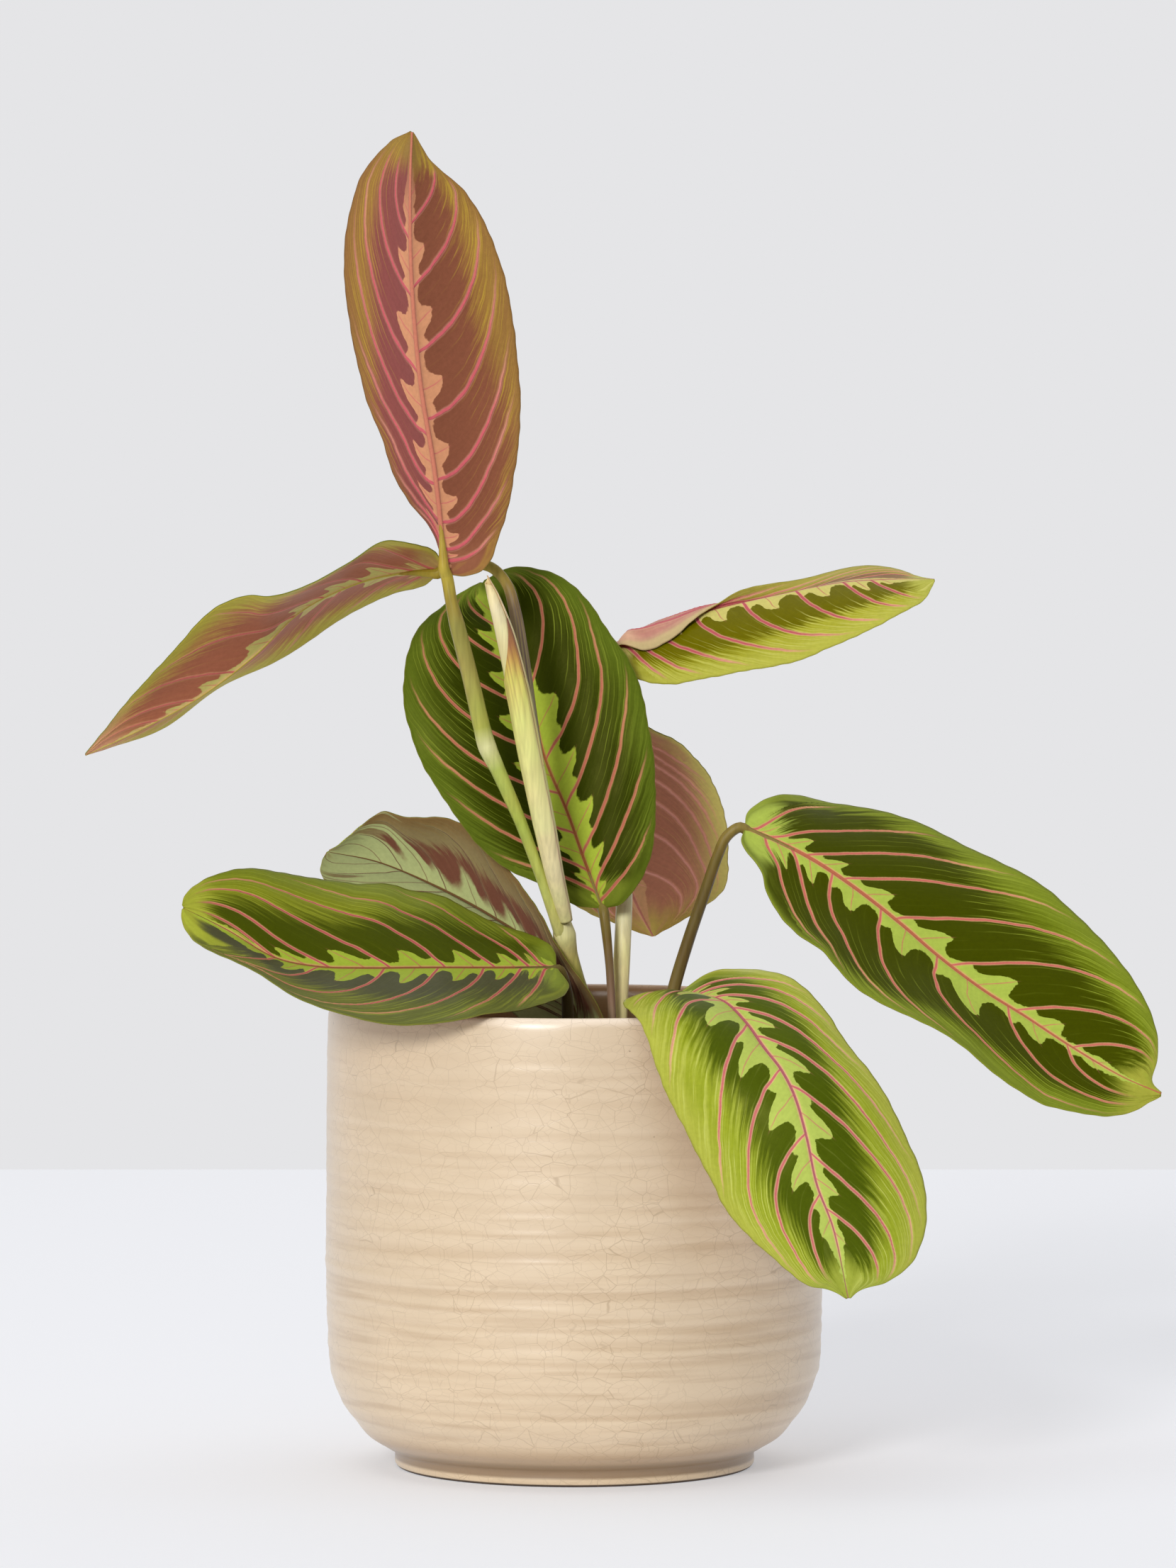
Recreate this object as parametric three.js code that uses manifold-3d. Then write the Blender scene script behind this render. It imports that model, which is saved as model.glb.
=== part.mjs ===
// A prayer plant (Maranta) in a glazed stoneware pot. Millimetres, +Z up, origin on the middle of the
// pot's flat foot, seen from the front along +Y. Each leaf, stem, the soil and the pot is one closed
// solid, and nothing moves: the stems stand in the soil and the soil fills the pot.
import * as THREE from 'three';
import { mergeVertices } from 'three/addons/utils/BufferGeometryUtils.js';
import Module from 'manifold-3d';

const wasm = await Module();
wasm.setup();

// ---------------------------------------------------------------- driving dimensions

const POT_HEIGHT = 131;
const POT_RADIUS = 70.2; // widest, below the middle
const POT_WALL = 4.6;
const POT_FLOOR = 7;
const POT_SEGMENTS = 48;
const FOOT_RADIUS = 50.6;
const SOIL_TOP = 114;
const SOIL_LUMP = 1.1; // height of the lumps on the soil
const GAP = 0.35; // between two solids that touch

const BLADE_THICKNESS = 0.7;
const BLADE_ALONG = 20; // cells from base to tip
const BLADE_ACROSS = 4; // cells from rib to margin
const STEM_SIDES = 8;

// Every outline was read by eye on an upright plane, from a distant eye point in front of the plant.
// A point [x, y, z] gives x and z as read on the leaf's own plane, and y is how far back it really
// lies, so the point slides along the line of sight until it is at y.
const EYE = new THREE.Vector3(3.8, -2200, 290);

const GREEN = 0x4f6b1e;
const YOUNG_GREEN = 0xa9b84a;
const UNDERSIDE = 0x8f5f4c;
const STEM_GREEN = 0xb9bd6a;

// ---------------------------------------------------------------- the leaves

// rib: base to tip. right and left: the margins between the same two ends, as seen on the upper face
// with the tip up. arch: how far each half bulges towards its upper face, as a share of its width, or
// a list with one value for each point of the margin. wave: height of the ripples at the margin,
// their number and where they start.
const LEAVES = [
  {
    name: 'leaf_upright', colour: UNDERSIDE, plane: 0, wave: [0.8, 3, 0.4],
    rib: [[-36, -10, 251], [-39.2, -9.5, 280], [-43.2, -7, 305], [-45.7, -3, 335], [-46, 2, 362],
      [-45.5, 6, 375.5]],
    right: [[-40, -5, 263], [-47, 0, 271.5], [-51.3, 3, 279], [-53.7, 6, 289], [-58.5, 11, 301],
      [-63, 16, 317], [-64.3, 19, 335], [-63, 20, 353], [-60, 19, 363], [-52, 13, 372]],
    left: [[-30.5, -9.5, 250.3], [-24.8, -9, 252.6], [-21, -7, 261], [-17, -4, 276], [-15, 0, 304],
      [-18, 4, 328], [-23, 6, 345], [-30, 8, 358], [-40, 8, 367]],
    archRight: 0.05, archLeft: 0.07,
  },
  {
    name: 'leaf_left_high', colour: UNDERSIDE, plane: 0, wave: [0.7, 3, 1.8],
    rib: [[-37, 2, 252.5], [-50, 4, 251.5], [-62, 5, 248.5], [-77, 5, 241], [-90, 4, 228.5],
      [-105, 2, 217], [-122, -1, 207.5], [-138, -4, 200]],
    right: [[-42, 12, 248], [-50, 20, 246], [-58, 26, 242], [-68, 30, 236.5], [-85, 32, 226.5],
      [-98, 30, 219.5], [-115, 22, 208.5], [-131, 6, 202]],
    left: [[-38.7, -5, 257.3], [-46, -16, 260], [-54, -22, 260], [-62, -22, 254.5], [-72, -21, 249.5],
      [-85, -22, 245.5], [-92, -22, 245.3], [-100, -22, 241.8], [-110, -18, 232.5], [-122, -14, 220],
      [-132, -8, 207.5]],
    archRight: 0.06, archLeft: 0.05,
  },
  {
    name: 'leaf_centre', colour: GREEN, plane: 0, wave: [0.8, 4, 0.2],
    rib: [[8, 8, 157], [3, 11, 170], [-2, 15, 184], [-8.5, 20, 200], [-12, 24, 215], [-17, 30, 232],
      [-26, 37, 249]],
    right: [[13, 6.5, 158], [19, 6.5, 165], [22.5, 8, 175], [23, 12, 189], [22, 16, 204],
      [17, 21, 224], [10, 26, 235], [1, 31, 247], [-7, 34, 252], [-18, 37, 253]],
    left: [[1, 6, 157.5], [-11, 4.5, 164], [-20, 4, 168.5], [-30, 5, 178], [-38, 8, 189],
      [-43.5, 12, 199], [-48.5, 19, 217], [-45, 26, 234.5], [-38, 31, 241.5], [-32, 34, 246]],
    archRight: 0.07, archLeft: 0.07,
  },
  {
    name: 'leaf_back', colour: UNDERSIDE, plane: 30, wave: [1.0, 3, 0.9],
    rib: [[6, 38, 207], [7, 50, 192], [11, 64, 174], [17, 77, 158], [22.5, 85, 147]],
    right: [[14, 37, 209], [24, 41, 205.5], [30, 45, 203], [38.5, 54, 193], [43, 63, 182],
      [44, 70, 171], [43, 77, 160.5], [37, 81, 155.5], [30, 83, 151.3]],
    left: [[-2, 38, 208], [-11, 46, 199], [-14.5, 56, 187], [-13, 67, 174], [-8, 75, 165],
      [-2, 80, 157], [4, 82, 153.5], [10, 84, 151.5], [17, 85, 148.7]],
    archRight: 0.08, archLeft: 0.08,
  },
  {
    name: 'leaf_right_high', colour: YOUNG_GREEN, plane: 0, wave: [0.5, 3, 1.1],
    rib: [[10, 38, 230], [22, 37, 236], [36, 35, 240.5], [55, 32, 245], [75, 28, 248.8],
      [90, 24, 249.5], [101.5, 20, 249.5]],
    right: [[13, 32, 225], [18, 28, 221.3], [26, 24, 220], [35, 21, 221.2], [46, 18, 223],
      [60, 15, 226], [70, 13, 229.5], [80, 12, 233.5], [90, 12, 239], [98.5, 15, 244]],
    left: [[14, 31, 231.3], [20, 29.5, 229.5], [28, 29, 233], [35, 31, 239], [45, 37, 245.5],
      [55, 44, 248.5], [66, 49, 250.6], [76, 49, 252.5], [84, 44, 253.2], [91, 37, 252.5],
      [97.5, 27, 250.3]],
    archRight: 0.09, archLeft: [0, -0.38, -0.4, -0.38, -0.45, -0.4, -0.22, -0.12, -0.06, -0.03, 0, 0, 0],
  },
  {
    name: 'leaf_left_low', colour: GREEN, plane: 0, wave: [0.6, 4, 2.6],
    rib: [[-5, -21, 140.5], [-20, -26, 140.3], [-40, -32, 140.3], [-60, -36, 140.2],
      [-72, -37, 140.6], [-84, -37, 143], [-98, -33, 151], [-110.5, -28, 157.3]],
    right: [[-6.5, -11, 146.4], [-22.6, -5, 153.5], [-37.6, -4, 160.2], [-45, -5, 162],
      [-53, -6, 164.6], [-62, -8, 164], [-71, -10, 165], [-86, -14, 168.2], [-94, -16, 168.2],
      [-102, -20, 166.2], [-107.5, -23, 163.2], [-110, -26, 160.3]],
    left: [[-1.5, -30, 135.2], [-3, -37, 132], [-10.7, -50, 129.6], [-24, -67, 126.9],
      [-34, -71, 124.8], [-54.3, -70, 124.9], [-69.3, -66, 127.7], [-78, -62, 131.5],
      [-88, -55, 138.4], [-105, -42, 146], [-109.3, -35, 150.2], [-110.8, -31, 153.8]],
    archRight: 0.07, archLeft: 0,
  },
  {
    name: 'leaf_left_back', colour: GREEN, plane: 0, wave: [0.7, 3, 0.5],
    rib: [[2, -3, 117.5], [0.8, -4, 126], [-3, -4, 136], [-13, 4, 148], [-22, 13, 154.3],
      [-38, 25, 163], [-55, 31, 170.2], [-69.5, 31, 173.2]],
    right: [[-4, 1, 118], [-11, 8, 121], [-17, 14, 127], [-28, 27, 137], [-42, 38, 147],
      [-56, 44, 156], [-66, 43, 161], [-71.3, 38, 166], [-71.4, 34, 170]],
    left: [[7, -6, 119], [8.5, -8, 125], [3.6, -9, 134.4], [-0.4, -7, 140], [-4.9, -5, 147.5],
      [-8.5, -3, 155], [-20.2, 8, 169.4], [-28, 14, 178.9], [-35, 18, 182.6], [-48, 20, 183],
      [-54, 21, 184.2], [-60, 24, 180.5], [-66.2, 27, 175.3]],
    archRight: 0.06, archLeft: 0.06,
  },
  {
    name: 'leaf_front', colour: YOUNG_GREEN, plane: -60, wave: [0.6, 4, 1.4],
    rib: [[25, -42, 134], [34, -49, 136.3], [41, -57, 135], [47.3, -66, 129], [52, -74, 122.5],
      [57, -80, 116], [60.5, -84, 109], [63.8, -87, 97.6], [66.5, -88, 85], [71, -87, 73],
      [75.3, -82, 53]],
    right: [[20, -46, 134.5], [14, -52, 135.7], [13.3, -59, 134.2], [15.5, -67, 132],
      [17.7, -72, 129], [20, -75, 124], [24.3, -77, 111.7], [31.9, -79, 96.4], [37.7, -80, 85],
      [42.1, -81, 76.7], [52.9, -82, 65.9], [63.7, -82, 57], [70.5, -82, 55.5]],
    left: [[30, -39, 138.2], [37.7, -39, 143.5], [45.3, -42, 144.3], [52.9, -46, 143.5],
      [60.5, -51, 140.6], [68.8, -58, 133.3], [77.1, -66, 120.6], [86, -72, 108.5],
      [92.9, -76, 94.5], [96.2, -78, 84], [96.6, -80, 73.4], [92.9, -81, 63.2], [86, -82, 58],
      [78.5, -82, 55.6]],
    archRight: 0.1, archLeft: 0.08,
  },
  {
    name: 'leaf_right', colour: GREEN, plane: -20, wave: [0.8, 4, 3.0],
    rib: [[47.5, -6, 181], [57, -8, 176.8], [67, -10, 171.6], [78, -12, 164.2], [91, -14, 154],
      [101.3, -15, 145.1], [114, -17, 135.5], [125.6, -18, 128.2], [138, -19, 120],
      [152.8, -20, 111.2], [164.5, -20, 106.1]],
    right: [[46.5, -12, 176], [51.7, -18, 168.8], [54, -23, 161.5], [62, -30, 151],
      [68.5, -33, 146], [77, -37, 137.2], [91, -40, 129.4], [106, -41, 120.5], [121, -39, 109.7],
      [130.3, -36, 103.4], [139, -33, 101], [147, -30, 100], [155, -26, 100.8], [160.3, -22, 103.5]],
    left: [[47.9, -1, 184.5], [52.6, 4, 188.5], [60.1, 9, 190.2], [71.3, 12, 188.3],
      [85.4, 13, 185.2], [101.3, 12, 180], [119.1, 9, 171.1], [130.3, 6, 164.5],
      [143.4, 1, 153.8], [154.7, -5, 140.2], [162.2, -11, 125.6], [162.8, -15, 116],
      [161.3, -18, 110]],
    archRight: -0.05, archLeft: 0.06,
  },
];

// ---------------------------------------------------------------- the stems

// Each run is a list of [x, y, z, radius] from low to high, read on the plane through the pot's axis
// unless the stem names another. Runs of one stem grew as one piece.
const STEMS = [
  {
    name: 'stem_main', colour: STEM_GREEN, runs: [
      [[5.5, 8, 100, 2.9], [5.2, 8, 114, 2.9], [3.8, 7, 126, 2.7], [0.6, 4, 136, 2.5],
        [-1.8, 1, 144, 2.7], [-2.9, -1, 149.5, 3.3], [-3.6, -2, 153, 2.6]],
      [[-3.3, -1.5, 149, 2.2], [-5.6, -4.5, 155, 1.7], [-9.1, -7, 165, 1.5], [-15, -9, 181, 1.7],
        [-21.5, -10, 196, 2.1], [-24.5, -10, 202.5, 2.6], [-26, -10, 208, 2.4], [-29, -10.5, 221, 2.3],
        [-33, -11, 237, 2.2], [-34.6, -11, 243.5, 1.7], [-35.8, -10.3, 250.2, 1.7]],
      [[-2.8, -0.5, 149.5, 2.2], [-4.2, -0.4, 157, 1.6], [-8, -0.5, 178, 1.9], [-12.5, -1, 205, 2.2],
        [-15.5, 0, 228, 2.2], [-17, 1, 241, 1.7], [-19.2, 2, 248.6, 1.5], [-23.5, 2, 253, 1.5],
        [-30, 2, 254, 1.6], [-36.6, 2, 252.6, 1.7]],
    ],
  },
  {
    name: 'stem_back', colour: STEM_GREEN, runs: [
      [[12.2, 11, 100, 2.5], [12.2, 11, 114, 2.5], [12.3, 11.5, 126, 2.5], [13.3, 14, 143, 2.4],
        [14, 17.5, 160, 2.3], [14, 26, 185, 2.1], [12, 32, 200, 2.1]],
      [[12.6, 31, 197, 1.8], [10, 34.5, 204, 1.5], [7.5, 36.9, 207.2, 1.3]],
      [[12.6, 31, 197, 1.8], [11.5, 34.5, 208, 1.5], [9, 37.5, 220, 1.4], [9.4, 38, 228.5, 1.3]],
    ],
  },
  {
    name: 'petiole_centre', colour: STEM_GREEN, runs: [
      [[10.8, 4, 100, 1.2], [10.8, 4, 114, 1.2], [10.5, 4.5, 128, 1.1], [9.9, 5.3, 140, 1.1],
        [9.2, 6.3, 148, 1.3], [8.1, 7.9, 156.5, 1.5]],
    ],
  },
  {
    name: 'petiole_left_low', colour: STEM_GREEN, runs: [
      [[-1.5, -17, 100, 1.8], [-1.5, -17, 114, 1.8], [-1.8, -18, 126, 1.7], [-2.3, -19, 134, 1.6],
        [-4.3, -20.6, 139.7, 1.4]],
    ],
  },
  {
    name: 'petiole_left_back', colour: STEM_GREEN, runs: [
      [[3.2, -3, 100, 1.6], [2.8, -3, 112, 1.6], [2.1, -3, 117.1, 1.6]],
    ],
  },
  {
    name: 'petiole_front', colour: STEM_GREEN, plane: -60, runs: [
      [[19, -35, 100, 1.7], [19, -35, 114, 1.7], [19.5, -36.5, 122, 1.6], [21.3, -39, 129.5, 1.5],
        [24.6, -41.8, 133.1, 1.3]],
    ],
  },
  {
    name: 'petiole_right', colour: STEM_GREEN, runs: [
      [[24, -4, 100, 2.0], [24.2, -4, 114, 2.0], [27.6, -4.5, 133, 1.8], [32, -5, 148, 1.7],
        [36.8, -5.5, 162, 1.6], [40.3, -6, 172, 1.5], [42.8, -6, 177.3, 1.5], [46.6, -6, 179.9, 1.5]],
    ],
  },
];

// The newest leaf is still rolled up like an umbrella, and stands beside the stem that it grew from.
const ROLLED_LEAF = {
  name: 'rolled_leaf', colour: 0xd6cf9a,
  run: [[-2.3, -4.6, 153.5, 1.9], [-3.4, -6, 158, 2.3], [-5.4, -8, 166, 2.7], [-8.5, -10.5, 181, 3.3],
    [-12, -12, 200, 3.9], [-15.5, -13, 218, 4.0], [-19.5, -13, 234, 3.2], [-23, -12.5, 245, 1.8],
    [-25, -12, 250.5, 0.7]],
};

// ---------------------------------------------------------------- building blocks

// Slides a reading on the plane y = plane along the line of sight to its own depth.
function placed([x, y, z], plane) {
  const share = (y - EYE.y) / (plane - EYE.y);
  return new THREE.Vector3(EYE.x + (x - EYE.x) * share, y, EYE.z + (z - EYE.z) * share);
}

// A smooth curve through readings.
function smooth(points, plane) {
  return new THREE.CatmullRomCurve3(points.map((p) => placed(p, plane)), false, 'centripetal');
}

// A closed geometry from corner points and triangles.
function closedGeometry(points, triangles) {
  const geometry = new THREE.BufferGeometry();
  const numbers = points.flatMap((p) => p.toArray());
  geometry.setAttribute('position', new THREE.Float32BufferAttribute(numbers, 3));
  geometry.setIndex(triangles.flat());
  geometry.computeVertexNormals();
  return geometry;
}

// A closed geometry's shared vertices merged, as a manifold solid.
function solid(geometry) {
  const bare = geometry.clone();
  bare.deleteAttribute('normal');
  bare.deleteAttribute('uv');
  const merged = mergeVertices(bare, 1e-4);
  return new wasm.Manifold(new wasm.Mesh({
    numProp: 3,
    vertProperties: new Float32Array(merged.attributes.position.array),
    triVerts: new Uint32Array(merged.index.array),
  }));
}

function geometryOf(manifold) {
  const mesh = manifold.getMesh();
  const geometry = new THREE.BufferGeometry();
  geometry.setAttribute('position', new THREE.BufferAttribute(mesh.vertProperties, 3));
  geometry.setIndex(new THREE.BufferAttribute(mesh.triVerts, 1));
  geometry.computeVertexNormals();
  return geometry;
}

function mesh(name, geometry, colour, roughness) {
  const material = new THREE.MeshStandardMaterial({ color: colour, roughness, metalness: 0 });
  const part = new THREE.Mesh(geometry, material);
  part.name = name;
  return part;
}

// A value from a list that is spread evenly from u = 0 to u = 1, or the value itself.
function along(values, u) {
  if (!Array.isArray(values)) return values;
  const place = u * (values.length - 1);
  const before = Math.min(Math.floor(place), values.length - 2);
  return THREE.MathUtils.lerp(values[before], values[before + 1], place - before);
}

// ---------------------------------------------------------------- leaf blades

const BASE_CUT = 0.008; // a blade starts and ends just short of where its margins meet
const TIP_CUT = 0.994;

// The middle surface: rows from base to tip, each from the left margin over the rib to the right.
function bladeRows(leaf) {
  const rail = (points) => smooth(points, leaf.plane);
  const base = leaf.rib[0];
  const tip = leaf.rib[leaf.rib.length - 1];
  const rib = rail(leaf.rib);
  const margins = {
    '-1': { curve: rail([base, ...leaf.left, tip]), arch: leaf.archLeft },
    1: { curve: rail([base, ...leaf.right, tip]), arch: leaf.archRight },
  };
  const [waveHeight, waveCount, waveStart] = leaf.wave;
  const rows = [];
  for (let i = 0; i <= BLADE_ALONG; i += 1) {
    const u = THREE.MathUtils.lerp(BASE_CUT, TIP_CUT, i / BLADE_ALONG);
    const centre = rib.getPointAt(u);
    const forward = rib.getTangentAt(u);
    const row = [];
    for (let j = -BLADE_ACROSS; j <= BLADE_ACROSS; j += 1) {
      const side = j < 0 ? -1 : 1;
      const share = Math.abs(j) / BLADE_ACROSS;
      const { curve, arch } = margins[side];
      const reach = curve.getPointAt(u).sub(centre);
      const up = reach.clone().multiplyScalar(side).cross(forward).normalize();
      const ripple = waveHeight * share ** 3 * Math.sin(Math.PI * (2 * waveCount * u + waveStart + side))
        * Math.sin(Math.PI * u);
      const lift = along(arch, u) * reach.length() * 4 * share * (1 - share) + ripple;
      row.push(centre.clone().addScaledVector(reach, share).addScaledVector(up, lift));
    }
    rows.push(row);
  }
  return rows;
}

// The middle surface thickened to both sides, with both faces split alike and a rim between them.
function blade(leaf) {
  const rows = bladeRows(leaf);
  const width = 2 * BLADE_ACROSS + 1;
  const within = (value, last) => THREE.MathUtils.clamp(value, 0, last);
  const at = (i, j) => rows[within(i, BLADE_ALONG)][within(j, width - 1)];
  const upper = [];
  const lower = [];
  for (let i = 0; i <= BLADE_ALONG; i += 1) {
    for (let j = 0; j < width; j += 1) {
      const forward = at(i + 1, j).clone().sub(at(i - 1, j));
      const outward = at(i, j + 1).clone().sub(at(i, j - 1));
      const normal = outward.cross(forward).normalize().multiplyScalar(BLADE_THICKNESS / 2);
      upper.push(at(i, j).clone().add(normal));
      lower.push(at(i, j).clone().sub(normal));
    }
  }
  const count = upper.length;
  const triangles = [];
  for (let i = 0; i < BLADE_ALONG; i += 1) {
    for (let j = 0; j < width - 1; j += 1) {
      const a = i * width + j;
      const [b, c, d] = [a + 1, a + width + 1, a + width];
      triangles.push([a, b, c], [a, c, d]);
      triangles.push([a + count, c + count, b + count], [a + count, d + count, c + count]);
    }
  }
  const rim = [];
  for (let j = 0; j < width - 1; j += 1) rim.push(j);
  for (let i = 0; i < BLADE_ALONG; i += 1) rim.push(i * width + width - 1);
  for (let j = width - 1; j > 0; j -= 1) rim.push(BLADE_ALONG * width + j);
  for (let i = BLADE_ALONG; i > 0; i -= 1) rim.push(i * width);
  rim.forEach((a, k) => {
    const b = rim[(k + 1) % rim.length];
    triangles.push([a, a + count, b + count], [a, b + count, b]);
  });
  return closedGeometry([...upper, ...lower], triangles);
}

// ---------------------------------------------------------------- stems

const STEPS_PER_SPAN = 2;

// A tapering round stem through the points of a run, grown by extra all round.
function stemTube(run, plane = 0, extra = 0) {
  const curve = smooth(run, plane);
  const steps = (run.length - 1) * STEPS_PER_SPAN;
  const points = [];
  const triangles = [];
  let across = new THREE.Vector3(1, 0, 0);
  for (let i = 0; i <= steps; i += 1) {
    const forward = curve.getTangent(i / steps);
    const beyond = (i === steps) - (i === 0); // a grown stem is longer by extra at both ends
    const centre = curve.getPoint(i / steps).addScaledVector(forward, extra * beyond);
    across = across.clone().addScaledVector(forward, -across.dot(forward)).normalize();
    const third = forward.clone().cross(across);
    const radius = along(run.map((p) => p[3]), i / steps) + extra;
    for (let k = 0; k < STEM_SIDES; k += 1) {
      const angle = (2 * Math.PI * k) / STEM_SIDES;
      points.push(centre.clone().addScaledVector(across, radius * Math.cos(angle))
        .addScaledVector(third, radius * Math.sin(angle)));
    }
  }
  for (let i = 0; i < steps; i += 1) {
    for (let k = 0; k < STEM_SIDES; k += 1) {
      const a = i * STEM_SIDES + k;
      const b = i * STEM_SIDES + ((k + 1) % STEM_SIDES);
      triangles.push([a, b, b + STEM_SIDES], [a, b + STEM_SIDES, a + STEM_SIDES]);
    }
  }
  const top = steps * STEM_SIDES;
  for (let k = 1; k < STEM_SIDES - 1; k += 1) {
    triangles.push([0, k + 1, k], [top, top + k, top + k + 1]);
  }
  return closedGeometry(points, triangles);
}

function stemSolid({ runs, plane }, extra = 0) {
  return runs.map((run) => solid(stemTube(run, plane, extra))).reduce((whole, next) => whole.add(next));
}

// ---------------------------------------------------------------- pot and soil

// Outside of the pot from the foot to the crest, as [radius, height].
const POT_OUTSIDE = [
  [FOOT_RADIUS - 1, 0], [FOOT_RADIUS, 1], [FOOT_RADIUS + 0.2, 4], [FOOT_RADIUS + 2.4, 5.6],
  [58.4, 9], [61.8, 13], [65, 17], [67, 21], [68.4, 25], [69.4, 30], [69.9, 40],
  [POT_RADIUS, 52], [POT_RADIUS + 0.2, 60], [POT_RADIUS - 0.1, 72], [69.9, 100], [69.4, 125],
  [69, 129], [68.3, POT_HEIGHT - 0.5], [67.2, POT_HEIGHT],
];
// Inside from the crest down to the floor.
const POT_INSIDE = [
  [66, POT_HEIGHT - 0.4], [65.1, 129], [69.4 - POT_WALL, 125], [69.9 - POT_WALL, 100],
  [POT_RADIUS - POT_WALL, 60], [69.7 - POT_WALL, 40], [63.6, 27], [60, 19], [54, 11.5], [46, POT_FLOOR],
];

// A profile of [radius, height] points turned about the pot's axis.
function turned(profile) {
  const points = profile.map(([radius, height]) => new THREE.Vector2(radius, height));
  return new THREE.LatheGeometry(points, POT_SEGMENTS).rotateX(Math.PI / 2);
}

function pot() {
  return geometryOf(solid(turned([[0, 0], ...POT_OUTSIDE, ...POT_INSIDE, [0, POT_FLOOR]])));
}

// The soil's uneven top, as a height above SOIL_TOP.
function lump(x, y) {
  const broad = Math.sin(0.21 * x + 1.3) * Math.cos(0.17 * y);
  const narrow = 0.6 * Math.sin(0.33 * y - 0.25 * x + 0.8);
  return SOIL_LUMP * (broad + narrow);
}

const SOIL_RINGS = [52, 36, 20];

function soil() {
  const wall = POT_INSIDE.filter(([, height]) => height < SOIL_TOP).reverse()
    .map(([radius, height]) => [radius - GAP, height + GAP]);
  const surface = [69.6 - POT_WALL - GAP, ...SOIL_RINGS, 0].map((radius) => [radius, SOIL_TOP]);
  const geometry = turned([[0, POT_FLOOR + GAP], ...wall, ...surface]);
  const { position } = geometry.attributes;
  for (let i = 0; i < position.count; i += 1) {
    if (position.getZ(i) > SOIL_TOP - 1) {
      position.setZ(i, SOIL_TOP + lump(position.getX(i), position.getY(i)));
    }
  }
  const holes = STEMS.map((stem) => solid(stemTube(stem.runs[0], stem.plane, GAP)));
  return geometryOf(holes.reduce((left, hole) => left.subtract(hole), solid(geometry)));
}

// ---------------------------------------------------------------- the plant in its pot

const plant = new THREE.Group();
plant.add(mesh('pot', pot(), 0xd9c3a2, 0.25));
plant.add(mesh('soil', soil(), 0x3b2a1e, 0.95));
STEMS.forEach((stem) => {
  plant.add(mesh(stem.name, geometryOf(stemSolid(stem)), stem.colour, 0.5));
});
const rolled = solid(stemTube(ROLLED_LEAF.run)).subtract(stemSolid(STEMS[0], GAP));
plant.add(mesh(ROLLED_LEAF.name, geometryOf(rolled), ROLLED_LEAF.colour, 0.5));
LEAVES.forEach((leaf) => plant.add(mesh(leaf.name, blade(leaf), leaf.colour, 0.45)));

export default plant;
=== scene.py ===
# %% [markdown]
# # A prayer plant in a crackle-glazed pot
#
# The real object is a red-veined prayer plant (Maranta leuconeura): nine broad leaves on thin stems,
# one more leaf still rolled up, and a round stoneware pot under a beige crackle glaze. The frame holds
# the plant as plain solids at their real size. This lesson dresses each of them: it repeats the
# outlines that the solids were made from, draws each piece finely around them, and gives it a finish.
# Every length below is in millimetres until a mesh is made, because a leaf is easier to think of that
# way, and metres after that, because the frame is in metres.

# %% Load the frame
import math
from functools import partial

import bpy
import numpy as np
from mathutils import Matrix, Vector


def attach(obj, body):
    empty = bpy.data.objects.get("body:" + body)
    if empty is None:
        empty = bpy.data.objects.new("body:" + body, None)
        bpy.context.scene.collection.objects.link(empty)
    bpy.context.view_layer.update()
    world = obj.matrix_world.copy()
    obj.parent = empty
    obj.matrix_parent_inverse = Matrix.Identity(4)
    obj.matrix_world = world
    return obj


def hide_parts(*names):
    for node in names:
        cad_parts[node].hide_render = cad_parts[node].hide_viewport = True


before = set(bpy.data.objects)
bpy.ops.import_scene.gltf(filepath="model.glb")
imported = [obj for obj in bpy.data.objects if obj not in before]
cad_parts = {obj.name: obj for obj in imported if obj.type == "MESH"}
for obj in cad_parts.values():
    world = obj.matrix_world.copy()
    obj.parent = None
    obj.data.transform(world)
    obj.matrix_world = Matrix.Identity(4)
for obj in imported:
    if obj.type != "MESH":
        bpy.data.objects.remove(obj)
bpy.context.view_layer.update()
MM = 0.001

# %% [markdown]
# ## Camera, floor and light
#
# The plant was photographed from the front with a long lens, a little above the rim of the pot, on a
# pale table in front of a pale wall. The wall is plain, so the world's own colour can stand for it,
# darker to the front right and to the left, where the room was. The table is a square that ends behind
# the pot, which gives the straight line where wall and table meet. It glows a little of its own, a
# painted glow that lightens the shadows on it. A low sun lamp at the front left has a wide disc,
# which blurs the shadow to the right of the pot, and a soft box overhead lights what lies flat.

# %% Colours
def linear(code):
    """An sRGB hex value as the linear colour that nodes and lamps work in."""
    parts = [int(code[i:i + 2], 16) / 255 for i in (1, 3, 5)]
    return tuple(c / 12.92 if c <= 0.04045 else ((c + 0.055) / 1.055) ** 2.4 for c in parts) + (1.0,)


WALL = "#e5e5e7"
print("wall colour, linear:", [round(c, 3) for c in linear(WALL)])

# %% Camera
EYE = np.array([3.8, -2200.0, 290.0])
TILT_DOWN = 2.549  # degrees
LENS, SENSOR = 179.8, 36  # mm, the sensor's long side stands upright


def put(name, data):
    """A new object that holds this data, in the scene and at its origin."""
    made = bpy.data.objects.new(name, data)
    bpy.context.scene.collection.objects.link(made)
    return made


camera = put("camera", bpy.data.cameras.new("camera"))
camera.data.sensor_width = SENSOR
camera.data.lens = LENS
camera.data.clip_end = 50
camera.location = EYE * MM
camera.rotation_euler = (math.radians(90 - TILT_DOWN), 0, 0)
bpy.context.scene.camera = camera
bpy.context.scene.view_settings.view_transform = "Standard"
print("camera at", [round(c, 3) for c in camera.location])

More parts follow.
